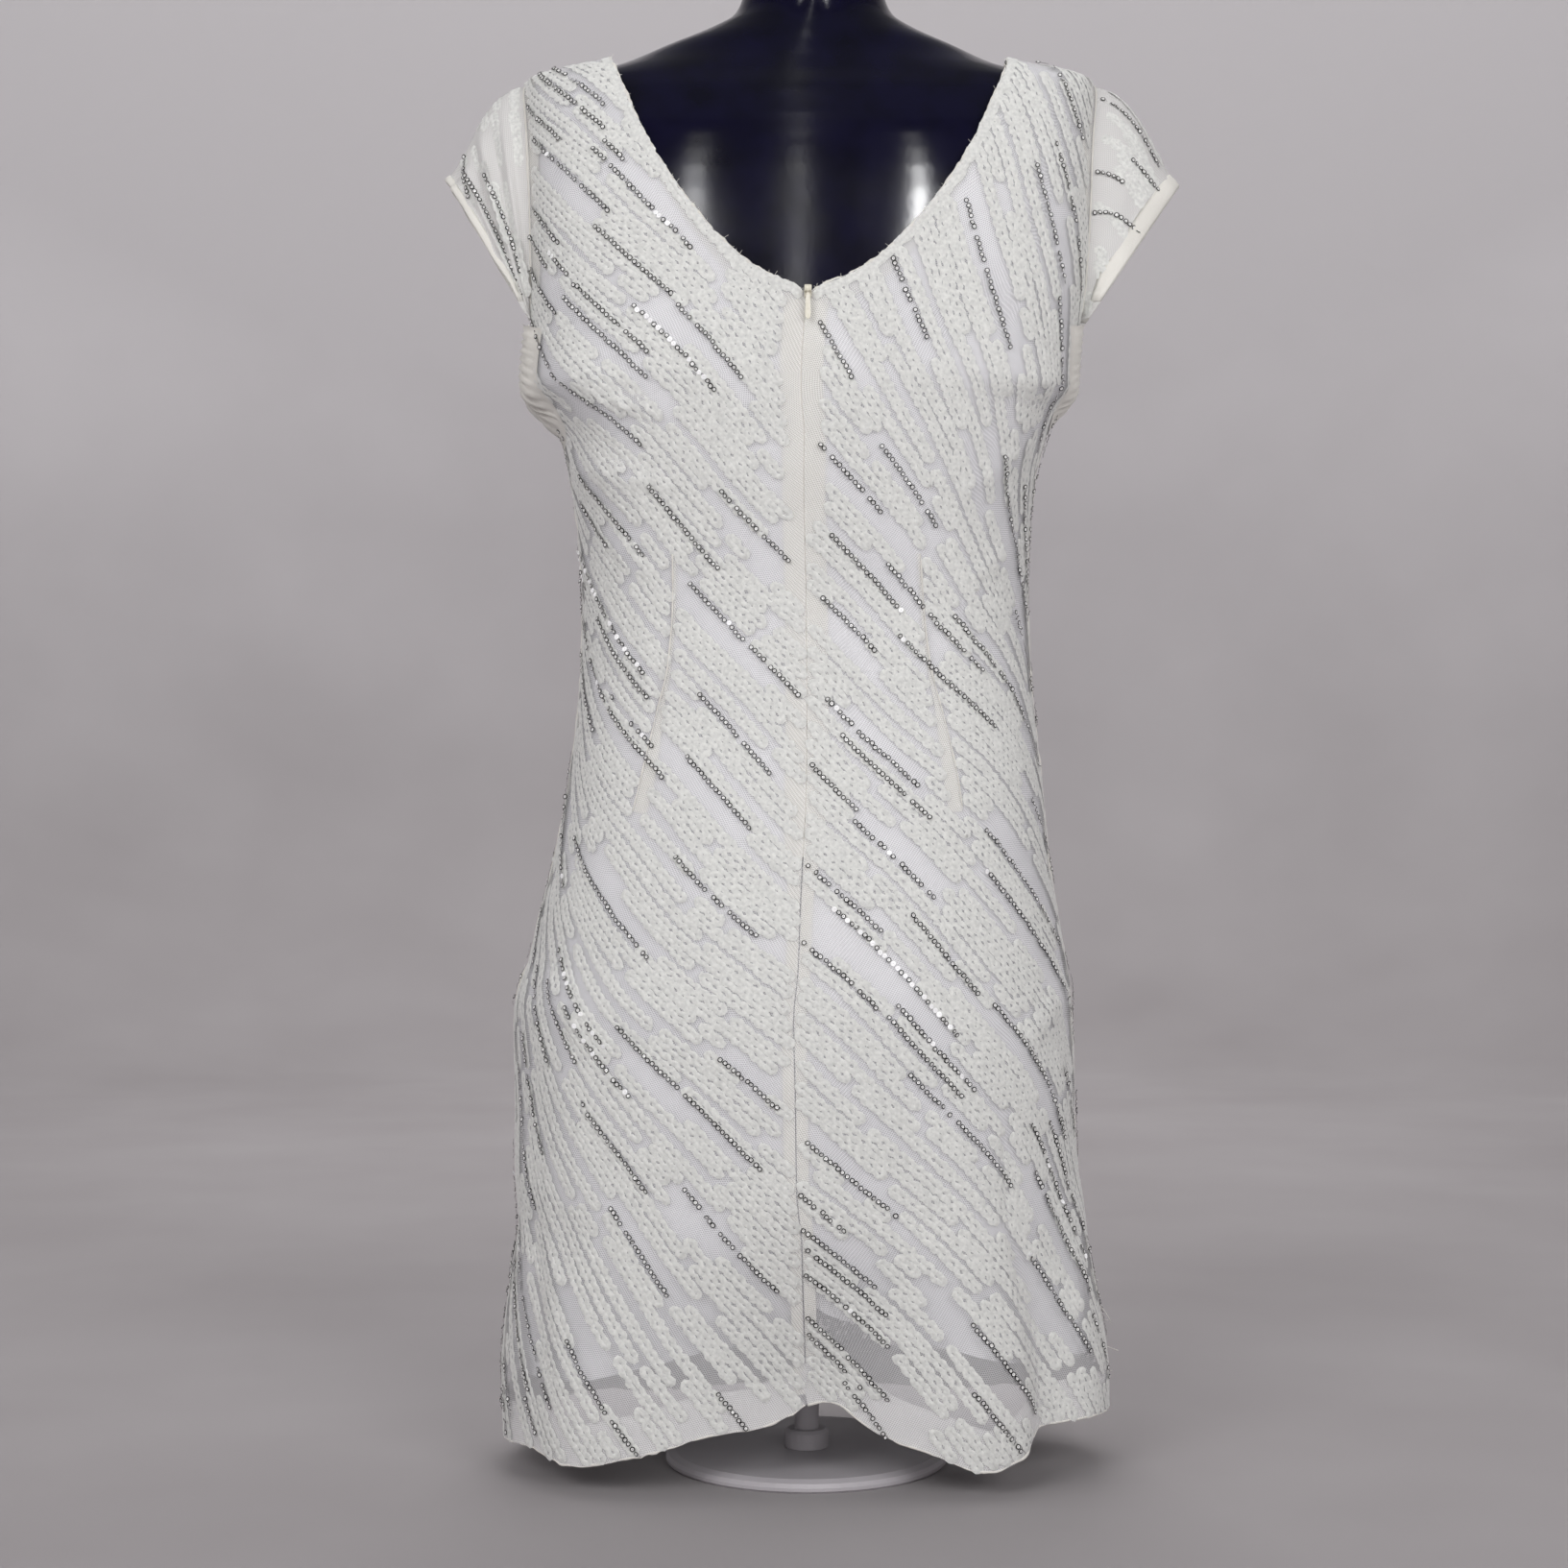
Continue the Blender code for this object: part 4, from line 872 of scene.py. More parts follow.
for name in ("BackLeft", "BackRight"):  # beside the zip and the centre back seam under it
    side = panels[name]["side"]
    level = np.linspace(62, cut["backNeck"] - 8, 150)
    angle = turned(-1, side, np.full(level.shape, quarter - edges["zipAside"]))
    width = edges["centreAllowance"] * (0.55 + 0.45 * smoothStep(360, 430, level))
    allowance(name, "centreAllowance" + name, angle, level, -side, width)
    # the waist dart's own allowance, which widens to its foot
    angle, level = dartLine(name, 60)
    width = dartWidth(level, edges["dartTip"], edges["dartWidening"])
    allowance(name, "dart" + name, angle, level, side, width)
    addRoll(name, "dart", "dartSeam" + name, angle, level)
for side, sideName in ((-1, "Left"), (1, "Right")):
    for face, name in ((-1, "Back" + sideName), (1, "Front")):
        title = ("Back" if face < 0 else "Front") + sideName
        away = -face * side
        level = np.linspace(60, cut["underarm"], 120)
        angle = turned(face, side, seamLean(level) + 0.002)
        allowance(name, "sideAllowance" + title, angle, level, away, edges["sideAllowance"])
        if face < 0:  # the seam itself, a soft ridge
            angle = turned(face, side, np.zeros(120))
            level = np.linspace(hem("shell", turned(face, side, 0.0)) + 2, cut["underarm"], 120)
            addRoll(name, "side", "sideSeam" + title, angle, level)
        lean, level = armhole(face, np.linspace(0.06, math.pi - 0.02, 70))
        angle = turned(face, side, lean)
        allowance(name, "armholeAllowance" + title, angle, level, away, edges["armholeAllowance"])
        level = np.linspace(cut["shoulderEnd"] + 0.5, cut["highShoulder"] - 0.3, 30)
        angle = turned(face, side, seamLean(level))
        allowance(name, "shoulderAllowance" + title, angle, level, away, edges["shoulderAllowance"])
        lean, level = neckline(face, 70)
        lean[0] -= edges["zipAside"]
        angle = turned(face, side, lean)
        width = edges["neckFacing"] * (1 - 0.5 * smoothStep(0, 40, np.arange(70)))
        lift = edges["seamLift"] + 0.15
        allowance(name, "neckFacing" + title, angle, level, -away, width, lift, neckMaterial)
        path, out = addRoll(name, "neck", "neckRoll" + title, angle, level)
        # short frayed ends along the raw turned edge, thickest beside the zip
        off, count = away * np.cross(out, unit(np.gradient(path, axis=0))), frays["count"]
        near = (chance.random(count) ** frays["toZip"] * (len(path) - 1)).astype(int)
        ways = off[near] + frays["out"] * out[near] + chance.normal(0, frays["stray"], (count, 3))
        lengths = chance.uniform(*frays["lengths"], count)
        onNet[name].append(threads("neckFrays" + title, path[near], unit(ways), lengths))
# a few long ends hang from the right side seam near the hem
level = np.array([58.0, 74.0, 92.0, 101.0, 118.0])
starts = onCloth(np.radians(np.array([-3.0, -1.5, -4.0, -2.0, -3.0])), level, 0.4)
ways = unit(np.array([[1, -0.4, 0.5], [1, -0.2, -0.3], [1, -0.5, 0.2], [0.8, -0.3, -0.6], [1, -0.4, 0.1]]))
onNet["BackRight"].append(threads("looseEnds", starts, ways, [5.0, 8.0, 6.5, 9.0, 5.5], 0.22))
print("edges turned")

# the zip

zipper = {
    "top": 743.0, "tapeLift": -2.3,
    "coilPitch": 1.4, "coilRadius": 0.75, "coilUneven": 0.3, "coilLift": -1.5,
}
level = np.linspace(cut["zipEnd"], zipper["top"], 120)
aside = np.linspace(-cut["tapeHalf"], cut["tapeHalf"], 9)
tapeAngle = -quarter + aside[None, :] / section("halfWidth", level)[:, None]
tapeGrid = onCloth(tapeAngle, np.repeat(level[:, None], len(aside), axis=1), zipper["tapeLift"])
zipTape = sheetPiece("zipTape", tapeGrid, facingMaterial, "tape")
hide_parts("zip_tape")
level = np.arange(cut["zipEnd"], cut["backNeck"] - 12, zipper["coilPitch"] / 2)
coilAngle = np.full(level.shape, -quarter)
path = onCloth(coilAngle, level, zipper["coilLift"])
radius = zipper["coilRadius"] * (1 + zipper["coilUneven"] * (np.arange(len(level)) % 2))
coil = tube(path, outward(clothSurface, coilAngle, level), radius)
zipCoil = meshPiece("zipCoil", *coil, edgeMaterial, slot="tape")
onNet["BackLeft"] += [zipTape, zipCoil]

# cap sleeves

# each fold is its place, width and height; gather is the facing's ripples, their length, and its lobe
sleeveCut = {
    "left": {
        "side": -1, "tipX": 235, "tipZ": 834, "rise": 9.0, "band": 5.0, "puff": 0.6, "ruffle": 2.0,
        "facing": 27.0, "fan": 0.75, "gather": (1.5, 5.0, 4.0), "flat": (0.348, 0.084, 0.015),
        "alongFolds": [
            (0.2, 0.05, 3.2), (0.34, 0.05, -2.2), (0.49, 0.05, 3.0), (0.62, 0.05, -2.2), (0.76, 0.05, 2.4),
        ],
        "acrossFolds": [(-0.6, 0.05, 0.6), (0.4, 0.07, 0.9)],
    },
    "right": {
        "side": 1, "tipX": 243, "tipZ": 831, "rise": 9.0, "band": 12.0, "puff": 1.1, "ruffle": 0.2,
        "facing": 22.0, "fan": 0.3, "gather": (0.9, 5.0, 2.2), "flat": (0.348, 0.089, 0.0141),
        "alongFolds": [(0.45, 0.12, 0.7)],
        "acrossFolds": [
            (-0.72, 0.07, 0.9), (-0.5, 0.06, -0.8), (-0.25, 0.08, 0.9), (0.1, 0.1, -0.6), (0.4, 0.08, 0.8),
        ],
    },
    "rows": 34, "endLength": 5.0, "depth": 42.0, "clear": 0.2, "bandShare": 0.6, "ruffleTurns": 30.0,
    "fanPlace": 0.36, "fanWidth": 0.17, "facingLift": 1.3, "facingLines": 11, "weltShare": 0.75,
    # round the hem band's section: how far in from the edge, and how many puffs out
    "hemSection": [
        (1.0, 0.35), (0.75, 1.2), (0.4, 1.5), (0.12, 1.4), (0.0, 0.6), (0.02, -0.5), (0.3, -0.9), (0.8, -0.7),
    ],
}


def gridNormals(grid, flip):
    normal = unit(np.cross(np.gradient(grid, axis=1), np.gradient(grid, axis=0)))
    return -normal if flip else normal


def ridges(at, rows):  # soft ridges side by side: the place, width and height of each
    return sum(high * np.exp(-(((at - place) / wide) ** 2)) for place, wide, high in rows)


def sleeveSurface(name):
    sleeve = sleeveCut[name]
    side = sleeve["side"]
    halves = []
    for face in (-1, 1):
        edge = armhole(face, np.linspace(sleeveTurn, math.pi, 60))
        lean, height = resampled(*edge, density["sleeveHalf"] + 1)
        halves.append(clothSurface(turned(face, side, lean), height))
    root = np.concatenate([halves[0], halves[1][::-1][1:]])
    root[len(halves[0]) - 1] = 0.5 * (halves[0][-1] + halves[1][-1])
    swing = np.linspace(-1, 1, len(root))
    arch = np.cos(0.5 * math.pi * swing)
    base = np.abs(root[:, 0]).min() + sleeveCut["endLength"]
    end = np.empty_like(root)
    end[:, 0] = side * (base + (sleeve["tipX"] - base) * arch)
    end[:, 1] = sleeveCut["depth"] * np.sin(0.5 * math.pi * swing)
    end[:, 2] = cut["sleeveStart"] + (sleeve["tipZ"] - cut["sleeveStart"]) * arch
    root[:, 0] += side * sleeveCut["clear"]
    share = np.linspace(0, 1, sleeveCut["rows"])[:, None, None]
    raised = np.array([0.6 * side, 0, 0.8]) * sleeve["rise"] * arch[:, None]
    crown = 6.75 * share * (1 - share) ** 2 * raised  # 1 at its fullest, a third of the way out
    grid = root + (end - root) * share + crown
    # soft folds: some hang along the sleeve, some run from its seam to its hem
    run, length = share[:, :, 0], np.linalg.norm(end - root, axis=1)[None, :]
    room = np.minimum(1, length / 34) * smoothStep(0.06, 0.4, np.abs(swing))[None, :]
    lift = ridges(run, sleeve["alongFolds"]) * room
    fade = np.sin(math.pi * np.clip(run * 1.15, 0, 1)) ** 0.7
    lift = lift + ridges(swing[None, :], sleeve["acrossFolds"]) * fade
    turns = sleeveCut["ruffleTurns"] * swing + 2.0 * np.sin(5 * swing)
    lift = lift + sleeve["ruffle"] * run ** 5 * np.sin(turns)[None, :] * np.minimum(1, length / 20)
    return grid + gridNormals(grid, side > 0) * lift[..., None]


sleeves = {}
for name in ("left", "right"):
    sleeve, title = sleeveCut[name], name.capitalize()
    back, flip = "Back" + title, sleeve["side"] > 0
    grid = sleeveSurface(name)
    sleeves[name] = sheetPiece("sleeve" + title, grid, sleeveNetMaterial, "net", flip)
    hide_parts("sleeve_" + name)
    printArea(sleeves[name])
    # the seam that holds the sleeve, a soft welt round the armhole
    normals = gridNormals(grid, flip)
    welt = sleeveCut["weltShare"] * rolls["side"]["size"] * lumpy(grid.shape[1], 0.2)
    seam = tube(grid[0], normals[0], welt)
    onNet[back].append(meshPiece("sleeveSeam" + title, *seam, edgeMaterial, slot="trim"))
    # the turned hem: a soft band over the edge, with a rounded fold along it
    length = np.linalg.norm(grid[-1] - grid[0], axis=1)
    band = np.minimum(sleeve["band"] / np.maximum(length, 1), sleeveCut["bandShare"])
    inner = slice(2, -2)
    edge, normal = grid[-1, inner], normals[-1, inner]
    inward = (grid[0, inner] - grid[-1, inner]) * band[inner, None]
    puff = sleeve["puff"] * lumpy(len(edge), 0.2, 0.8)[:, None]
    ring = np.array([edge + inward * deep + normal * out * puff for deep, out in sleeveCut["hemSection"]])
    count, wide = ring.shape[:2]
    faces = (gridFaces(count + 1, wide) % (count * wide)).tolist()
    for end in (0, wide - 1):
        faces += ladder([k * wide + end for k in range(count)])
    hemPiece = meshPiece("sleeveHem" + title, ring.reshape(-1, 3), faces, edgeMaterial, slot="trim")
    inEditMode(hemPiece, lambda: bpy.ops.mesh.normals_make_consistent(inside=False))
    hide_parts("sleeve_band_" + name)
    # the gathered facing under the arm
    turn = np.linspace(0.02, sleeveTurn * 0.97, 40)
    (backLean, backLevel), (frontLean, frontLevel) = armhole(-1, turn), armhole(1, turn)
    lean = np.concatenate([-backLean[::-1], frontLean])
    level = np.concatenate([backLevel[::-1], frontLevel])
    angle = lean if flip else math.pi - lean
    fan = [(sleeveCut["fanPlace"], sleeveCut["fanWidth"], sleeve["fan"])]
    width = sleeve["facing"] * (1 + ridges(np.linspace(0, 1, len(angle)), fan))
    facing = edgeBand("armholeFacing" + title, angle, level, -sleeve["side"], width, sleeveCut["facingLift"],
                      edgeMaterial, "trim", sleeveCut["facingLines"], sleeve["gather"])
    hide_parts("armhole_binding_" + name)
    onNet[back].append(facing)
    addRoll(back, "armhole", "armholeRoll" + title, angle, level)
print("sleeves set in")

# embroidery: cords laid in wavy fingers that flow round the body, with bare streaks between

flow = {  # degrees below level, down towards the wearer's right
    "angles": [-90, -45, -8, 45, 90, 135, 188, 225, 270],
    "heights": [40, 170, 326, 514, 702, 850],
    "dips": [
        [48, 56, 68, 60, 52, 58, 80, 56, 48],
        [44, 50, 64, 56, 50, 56, 78, 54, 44],
        [40, 45, 60, 54, 48, 56, 75, 50, 40],
        [42, 48, 62, 56, 50, 54, 62, 45, 42],
        [57, 72, 78, 66, 56, 50, 46, 44, 57],
        [60, 74, 80, 68, 58, 50, 42, 42, 60],
    ],
}
embroidery = {
    "spacing": 7.6, "spacingLow": 8.2, "strandAside": 1.92, "wave": 0.5, "waveLength": 6.6,
    "strandHalf": 1.84, "strandHigh": 0.5, "strandLow": 0.05, "segment": 1.5, "step": 2.5, "fuzz": 0.2,
    "turnLength": 3.2, "sway": 0.5, "swayLength": 17.0, "drift": 0.25, "bodyRadius": 166, "slant": 50,
    # how uneven a strand's width and height are: amount, knots for each step, least and most
    "unevenHalf": (0.16, 0.6, 0.6, 1.4), "unevenHigh": (0.2, 0.6, 0.5, 1.5), "neckIn": 2.9, "neckAside": 1.3,
    "reach": (30, 130), "seeds": 260, "apart": 0.97, "keepOff": 0.86, "shortest": 8,
}
# bare streaks: how far apart along the flow and across it, their length to each side and their width,
# the millimetres in a degree round the body, and how pointed and uneven their outline is
streak = {
    "along": 132.0, "aside": 37.0, "reach": (30, 88), "width": (4.5, 11.0), "shortest": 14, "tries": 6000,
    "perDegree": 2.9, "taper": 0.55, "uneven": 0.2,
}
firstAngle, firstHeight, heightStep = -92, 12, 2.0  # a lattice round the cloth, one degree a column
latticeAngles = np.arange(firstAngle, 273, 1.0)
latticeHeights = np.arange(firstHeight, 916, heightStep)
u, v = np.meshgrid(np.radians(latticeAngles), latticeHeights, indexing="ij")
roundBody, upward = slopes(clothSurface, u, v)
roundLength = np.linalg.norm(roundBody, axis=-1)
level = dot(roundBody / roundLength[..., None], upward)
rise = np.sqrt(np.maximum(dot(upward, upward) - level ** 2, 1e-6))
dip = np.array([[np.interp(a, flow["angles"], row) for a in latticeAngles] for row in flow["dips"]])
dip = np.array([np.interp(latticeHeights, flow["heights"], dip[:, i]) for i in range(len(latticeAngles))])
dip += 4 * np.sin(u * 3 + v / 70) + 3 * np.sin(v / 38 - u * 5)  # it wanders a few degrees
dip = np.radians(dip)
perRound, perRise, lean = 1 / roundLength, 1 / rise, -level / (rise * roundLength)
degree = 180 / math.pi
latticePoints = clothSurface(u, v)
lattice = np.concatenate([np.stack([
    degree * (np.cos(dip) * perRound - np.sin(dip) * lean), -np.sin(dip) * perRise,
    degree * (np.sin(dip) * perRound + np.cos(dip) * lean), np.cos(dip) * perRise,
], -1), latticePoints], -1)
latticeRows = [[tuple(node) for node in row] for row in lattice.tolist()]
lastI, lastJ = len(latticeAngles) - 2, len(latticeHeights) - 2


def onLattice(a, z):  # at a place: the ways along and across the flow, then the point on the cloth
    f, g = a - firstAngle, (z - firstHeight) / heightStep
    i, j = min(max(int(f), 0), lastI), min(max(int(g), 0), lastJ)
    f, g = f - i, g - j
    left, right = latticeRows[i], latticeRows[i + 1]
    p, q, r, s = left[j], right[j], left[j + 1], right[j + 1]
    k, l, m, n = (1 - f) * (1 - g), f * (1 - g), (1 - f) * g, f * g
    return [k * p[c] + l * q[c] + m * r[c] + n * s[c] for c in range(7)]


def nearestColumn(a):  # of the lattice, for an angle
    return min(max(int(a - (firstAngle - 0.5)), 0), lastI)


def cellOf(a, z):  # the lattice's cell that a place lies in
    return int(a - firstAngle), int((z - firstHeight) / heightStep)


# how far the cords keep from each edge, in degrees, then from the hem in millimetres, and the
# heights between which they lie
clearOf = {
    "seam": 0.15, "armhole": 0.7, "sleeve": 3.0, "neck": 1.6, "zip": 0.5,
    "hem": 0.6, "foot": 14, "shoulder": 904,
}
edgeLevels = np.arange(0, 914, heightStep)
limits = {}
for face in (-1, 1):
    low = np.degrees(seamLean(edgeLevels)) + clearOf["seam"]
    lean, height = armhole(face, np.linspace(0, math.pi, 80))
    within = (edgeLevels > height[0]) & (edgeLevels < height[-1])
    plain = clearOf["armhole"] + clearOf["sleeve"] * smoothStep(795, 812, edgeLevels)
    low = np.where(within, np.degrees(np.interp(edgeLevels, height, lean)) + plain, low)
    lean, height = neckline(face, 80)
    belowNeck = np.degrees(np.interp(edgeLevels, height, lean)) - clearOf["neck"]
    high = np.where(edgeLevels > height[0], belowNeck, 90 if face > 0 else 90 - clearOf["zip"])
    limits[face] = (low.tolist(), high.tolist())
hemLimit = [float(hem("shell", math.radians(a))) + clearOf["hem"] for a in latticeAngles]


def inside(panelName, a, z):
    if not clearOf["foot"] < z < clearOf["shoulder"]:
        return False
    if panelName == "Front":
        lean, face = (a if a <= 90 else 180 - a), 1
    elif panelName == "BackRight":
        lean, face = -a, -1
    else:
        lean, face = a - 180, -1
    low, high = limits[face]
    k = int(z / heightStep)
    return low[k] < lean < high[k] and z > hemLimit[nearestColumn(a)]


def trace(panelName, a, z, lengths, free):  # a line along the flow through a place, both ways
    step = embroidery["step"]
    halves = []
    for sign, length in zip((1, -1), lengths):
        ca, cz, half, run = a, z, [], 0.0
        while run < length:
            here = onLattice(ca, cz)
            middle = onLattice(ca + 0.5 * sign * step * here[0], cz + 0.5 * sign * step * here[1])
            ca, cz = ca + sign * step * middle[0], cz + sign * step * middle[1]
            if not inside(panelName, ca, cz):
                break
            here = onLattice(ca, cz)
            if free and not free(ca, cz, here):
                break
            half.append((ca, cz, *here[4:]))
            run += step
        halves.append(half)
    return halves[1][::-1] + [(a, z, *onLattice(a, z)[4:])] + halves[0]


panelSpan = {"Front": (0, 180), "BackLeft": (180, 270), "BackRight": (-90, 0)}
streaks = {name: [] for name in panels}
bare = np.full(latticePoints.shape[:2], 99.0)
plainBands = {"dart": (2.2, 3.4), "zip": 12.5}  # their widths


def keepBare(line, width, part=np.s_[:, :]):  # notes how far the lattice lies from what is bare
    gap = np.linalg.norm(latticePoints[part][:, :, None] - line[None, None], axis=-1) - width
    bare[part] = np.minimum(bare[part], gap.min(-1))


for name in darts:  # no cords lie on a dart
    angle, level = dartLine(name, 50)
    width = dartWidth(level, *plainBands["dart"])
    keepBare(onCloth(*walked(angle, level, panels[name]["side"], 0.5 * width), 0.0), width)
level = np.linspace(596, 750, 50)  # and none on the smooth band beside the upper zip
width = plainBands["zip"] * smoothStep(590, 622, level)
keepBare(onCloth(np.full(level.shape, -quarter), level, 0.0), width)
for name, (first, last) in panelSpan.items():
    seeds = []
    for _ in range(streak["tries"]):
        a, z = chance.uniform(first, last), chance.uniform(20, 900)
        if not inside(name, a, z):
            continue
        here = dip[cellOf(a, z)]
        c, s = math.cos(here), math.sin(here)
        flatX = streak["perDegree"] * a
        near = False
        for otherX, otherZ in seeds:
            along = (flatX - otherX) * c - (z - otherZ) * s
            aside = (flatX - otherX) * s + (z - otherZ) * c
            if (along / streak["along"]) ** 2 + (aside / streak["aside"]) ** 2 < 1:
                near = True
                break
        if near:
            continue
        seeds.append((flatX, z))
        line = trace(name, a, z, chance.uniform(*streak["reach"], 2), None)
        if len(line) < streak["shortest"]:
            continue
        place = np.array(line)
        t = np.linspace(0, 1, len(place))
        outline = np.sin(math.pi * np.clip(t, 0.02, 0.98)) ** streak["taper"]
        widths = chance.uniform(*streak["width"]) * outline * (1 + streak["uneven"] * np.sin(9 * t + a))
        streaks[name].append((place, widths))
        (i, j), (i1, j1) = cellOf(*place[:, :2].min(0)), cellOf(*place[:, :2].max(0))
        part = np.s_[max(i - 8, 0):i1 + 9, max(j - 12, 0):j1 + 13]
        keepBare(place[::2, 2:], widths[::2], part)
bareRows = bare.tolist()
print("streaks", {name: len(found) for name, found in streaks.items()})


def isBare(a, z):
    middle = firstHeight - 0.5 * heightStep
    return bareRows[nearestColumn(a)][min(max(int((z - middle) / heightStep), 0), lastJ)] < 0


def spacingAt(z):
    f = min(max((150 - z) / 80, 0), 1)
    return embroidery["spacing"] + (embroidery["spacingLow"] - embroidery["spacing"]) * f


def grownLines(panelName):  # evenly spaced lines along the flow, grown from one another
    cell, taken, kept = 13.0, {}, []

    def nearest(x, y, z):
        best = 1e9
        i, j, k = int(x // cell), int(y // cell), int(z // cell)
        for di in (-1, 0, 1):
            for dj in (-1, 0, 1):
                for dk in (-1, 0, 1):
                    for px, py, pz in taken.get((i + di, j + dj, k + dk), ()):
                        gap = (px - x) ** 2 + (py - y) ** 2 + (pz - z) ** 2
                        if gap < best:
                            best = gap
        return math.sqrt(best)

    def free(a, z, here):
        return not isBare(a, z) and nearest(*here[4:]) > embroidery["keepOff"] * spacingAt(z)

    first, last = panelSpan[panelName]
    seeds = range(embroidery["seeds"])
    queue = deque((chance.uniform(first, last), chance.uniform(20, 900)) for _ in seeds)
    while queue:
        a, z = queue.popleft()
        if not inside(panelName, a, z) or isBare(a, z):
            continue
        if nearest(*onLattice(a, z)[4:]) < embroidery["apart"] * spacingAt(z):
            continue
        line = trace(panelName, a, z, chance.uniform(*embroidery["reach"], 2), free)
        if len(line) < embroidery["shortest"]:
            continue
        kept.append(np.array(line))
        for _, _, *spot in line[::2] + [line[-1]]:
            taken.setdefault(tuple(int(part // cell) for part in spot), []).append(tuple(spot))
        for ca, cz, *_ in line[::3]:
            here = onLattice(ca, cz)
            away = spacingAt(cz)
            queue.append((ca + away * here[2], cz + away * here[3]))
            queue.append((ca - away * here[2], cz - away * here[3]))
    return kept


def finger(points, normals, phases, aside):  # two wavy strands, joined in a turn at each end
    run = runAlong(points)
    count = max(8, int(run[-1] / embroidery["segment"]))
    at = np.linspace(0, run[-1], count)
    points, normals = readAlong(at, run, points), unit(readAlong(at, run, normals))
    phases, across = np.interp(at, run, phases), sideways(points, normals)
    end = np.minimum(at, run[-1] - at)
    rounding = np.clip(end / embroidery["turnLength"], 0, 1)
    rounding = np.sqrt(np.clip(1 - (1 - rounding) ** 2, 0.01, 1))
    sway = embroidery["sway"] * np.sin(at / embroidery["swayLength"] + phases[0])
    loops = []
    for sign in (1, -1):
        drift = embroidery["drift"] * (lumpy(count, 1.0, 0.2) - 1)
        wave = embroidery["wave"] * np.sin(phases + 0.5 * drift)
        off = sign * (aside + wave) * rounding + sway + drift * 0.6
        loops.append(points + across * off[:, None])
    path = np.concatenate([loops[0], loops[1][::-1]])
    normal = np.concatenate([normals, normals[::-1]])
    beside = unit(np.cross(normal, np.roll(path, -1, axis=0) - np.roll(path, 1, axis=0)))
    path = path + beside * chance.normal(0, embroidery["fuzz"], (len(path), 1))
    half = embroidery["strandHalf"] * lumpyWithin(len(path), *embroidery["unevenHalf"])[:, None]
    high = embroidery["strandHigh"] * lumpyWithin(len(path), *embroidery["unevenHigh"])[:, None]
    low = normal * embroidery["strandLow"]
    rings = np.stack([path - beside * half + low, path + normal * high, path + beside * half + low], 1)
    count = len(path)
    return rings.reshape(-1, 3), gridFaces(count + 1, 3, True, True) % (count * 3)


def lineOnCloth(line):  # exact places, normals and wave phases of a traced line
    angle, height = np.radians(line[:, 0]), line[:, 1]
    slant = math.radians(embroidery["slant"])
    flatAlong = embroidery["bodyRadius"] * angle * math.cos(slant) - height * math.sin(slant)
    phases = 2 * math.pi * flatAlong / embroidery["waveLength"]
    return clothSurface(angle, height), outward(clothSurface, angle, height), phases


def edgeCord(face, side):  # a cord that follows the neck edge, close inside it
    lean, level = neckline(face, 90)
    lean[0] -= edges["zipAside"]
    inward = np.full(level.shape, embroidery["neckIn"])
    angle, height = walked(turned(face, side, lean), level, face * side, inward)
    return np.stack([np.degrees(angle), height], -1)


for name in panels:
    fingers = [finger(*lineOnCloth(line), embroidery["strandAside"]) for line in grownLines(name)]
    face = panels[name]["face"]
    for side in (-1, 1) if face > 0 else (panels[name]["side"],):
        fingers.append(finger(*lineOnCloth(edgeCord(face, side)), embroidery["neckAside"]))
    parts = {"cords" + name: fingers}
    if name == "Front":  # in two pieces, to keep each of a fair size
        parts = {"cordsFrontA": fingers[::2], "cordsFrontB": fingers[1::2]}
    for part, some in parts.items():
        points, faces = joinedParts(some)
        onNet[name].append(crisp(meshPiece(part, points, faces, cordMaterial, slot="net")))
        print(part, len(some), "fingers", 2 * len(faces), "triangles")

# sequins

sequin = {
    "outer": 1.68, "rim": 1.04, "hole": 0.25, "cup": 0.18, "dip": -0.05, "sides": 9, "uneven": 0.05,
    "pitch": 3.55, "lift": 1.35, "stray": 0.36, "jitter": 0.24, "tilt": 0.22, "missing": 0.05, "apart": 7.0,
    "rowsPerStreak": 1.75, "tries": 3000, "reach": (16, 54), "shortest": 8, "fewest": 5, "clearOfBare": 2,
    "inStreakMiddle": (0.35, 0.65), "inStreakReach": (0.3, 0.5), "inStreakAside": (0.3, 0.95),
    "paintedGlintRows": 0.1, "paintedGlintInRow": 0.3, "paintedGlintAlone": 0.014, "paintedGlintOnSleeve": 0.04,
}


def sequinPiece(name, centres, normals, paintedGlint):
    count, sides = len(centres), sequin["sides"]
    tilt = unit(normals + chance.normal(0, sequin["tilt"], (count, 3)))
    across = unit(np.cross(tilt, np.array([0.3, 0.2, 1.0])))
    beside = np.cross(tilt, across)
    circle = circles(sides, across, beside)
    radii = ((sequin["outer"], 0.0), (sequin["rim"], sequin["cup"]), (sequin["hole"], sequin["dip"]))
    size = chance.normal(1, sequin["uneven"], (count, 1, 1))
    rings = np.stack([centres[:, None] + size * (r * circle + h * tilt[:, None]) for r, h in radii], 1)
    single = gridFaces(3, sides, False, True)
    faces = (single[None] + (np.arange(count) * 3 * sides)[:, None, None]).reshape(-1, 4)
    piece = meshPiece(name, rings.reshape(-1, 3), faces, [sequinRim, sequinMiddle, paintedGlintMaterial], slot="net")
    index = np.tile(np.repeat([0, 1], sides), count)
    # the painted glint's faces take the third, glowing material
    index[np.repeat(paintedGlint, 2 * sides)] = 2
    piece.data.polygons.foreach_set("material_index", index.astype(np.int32))
    return piece


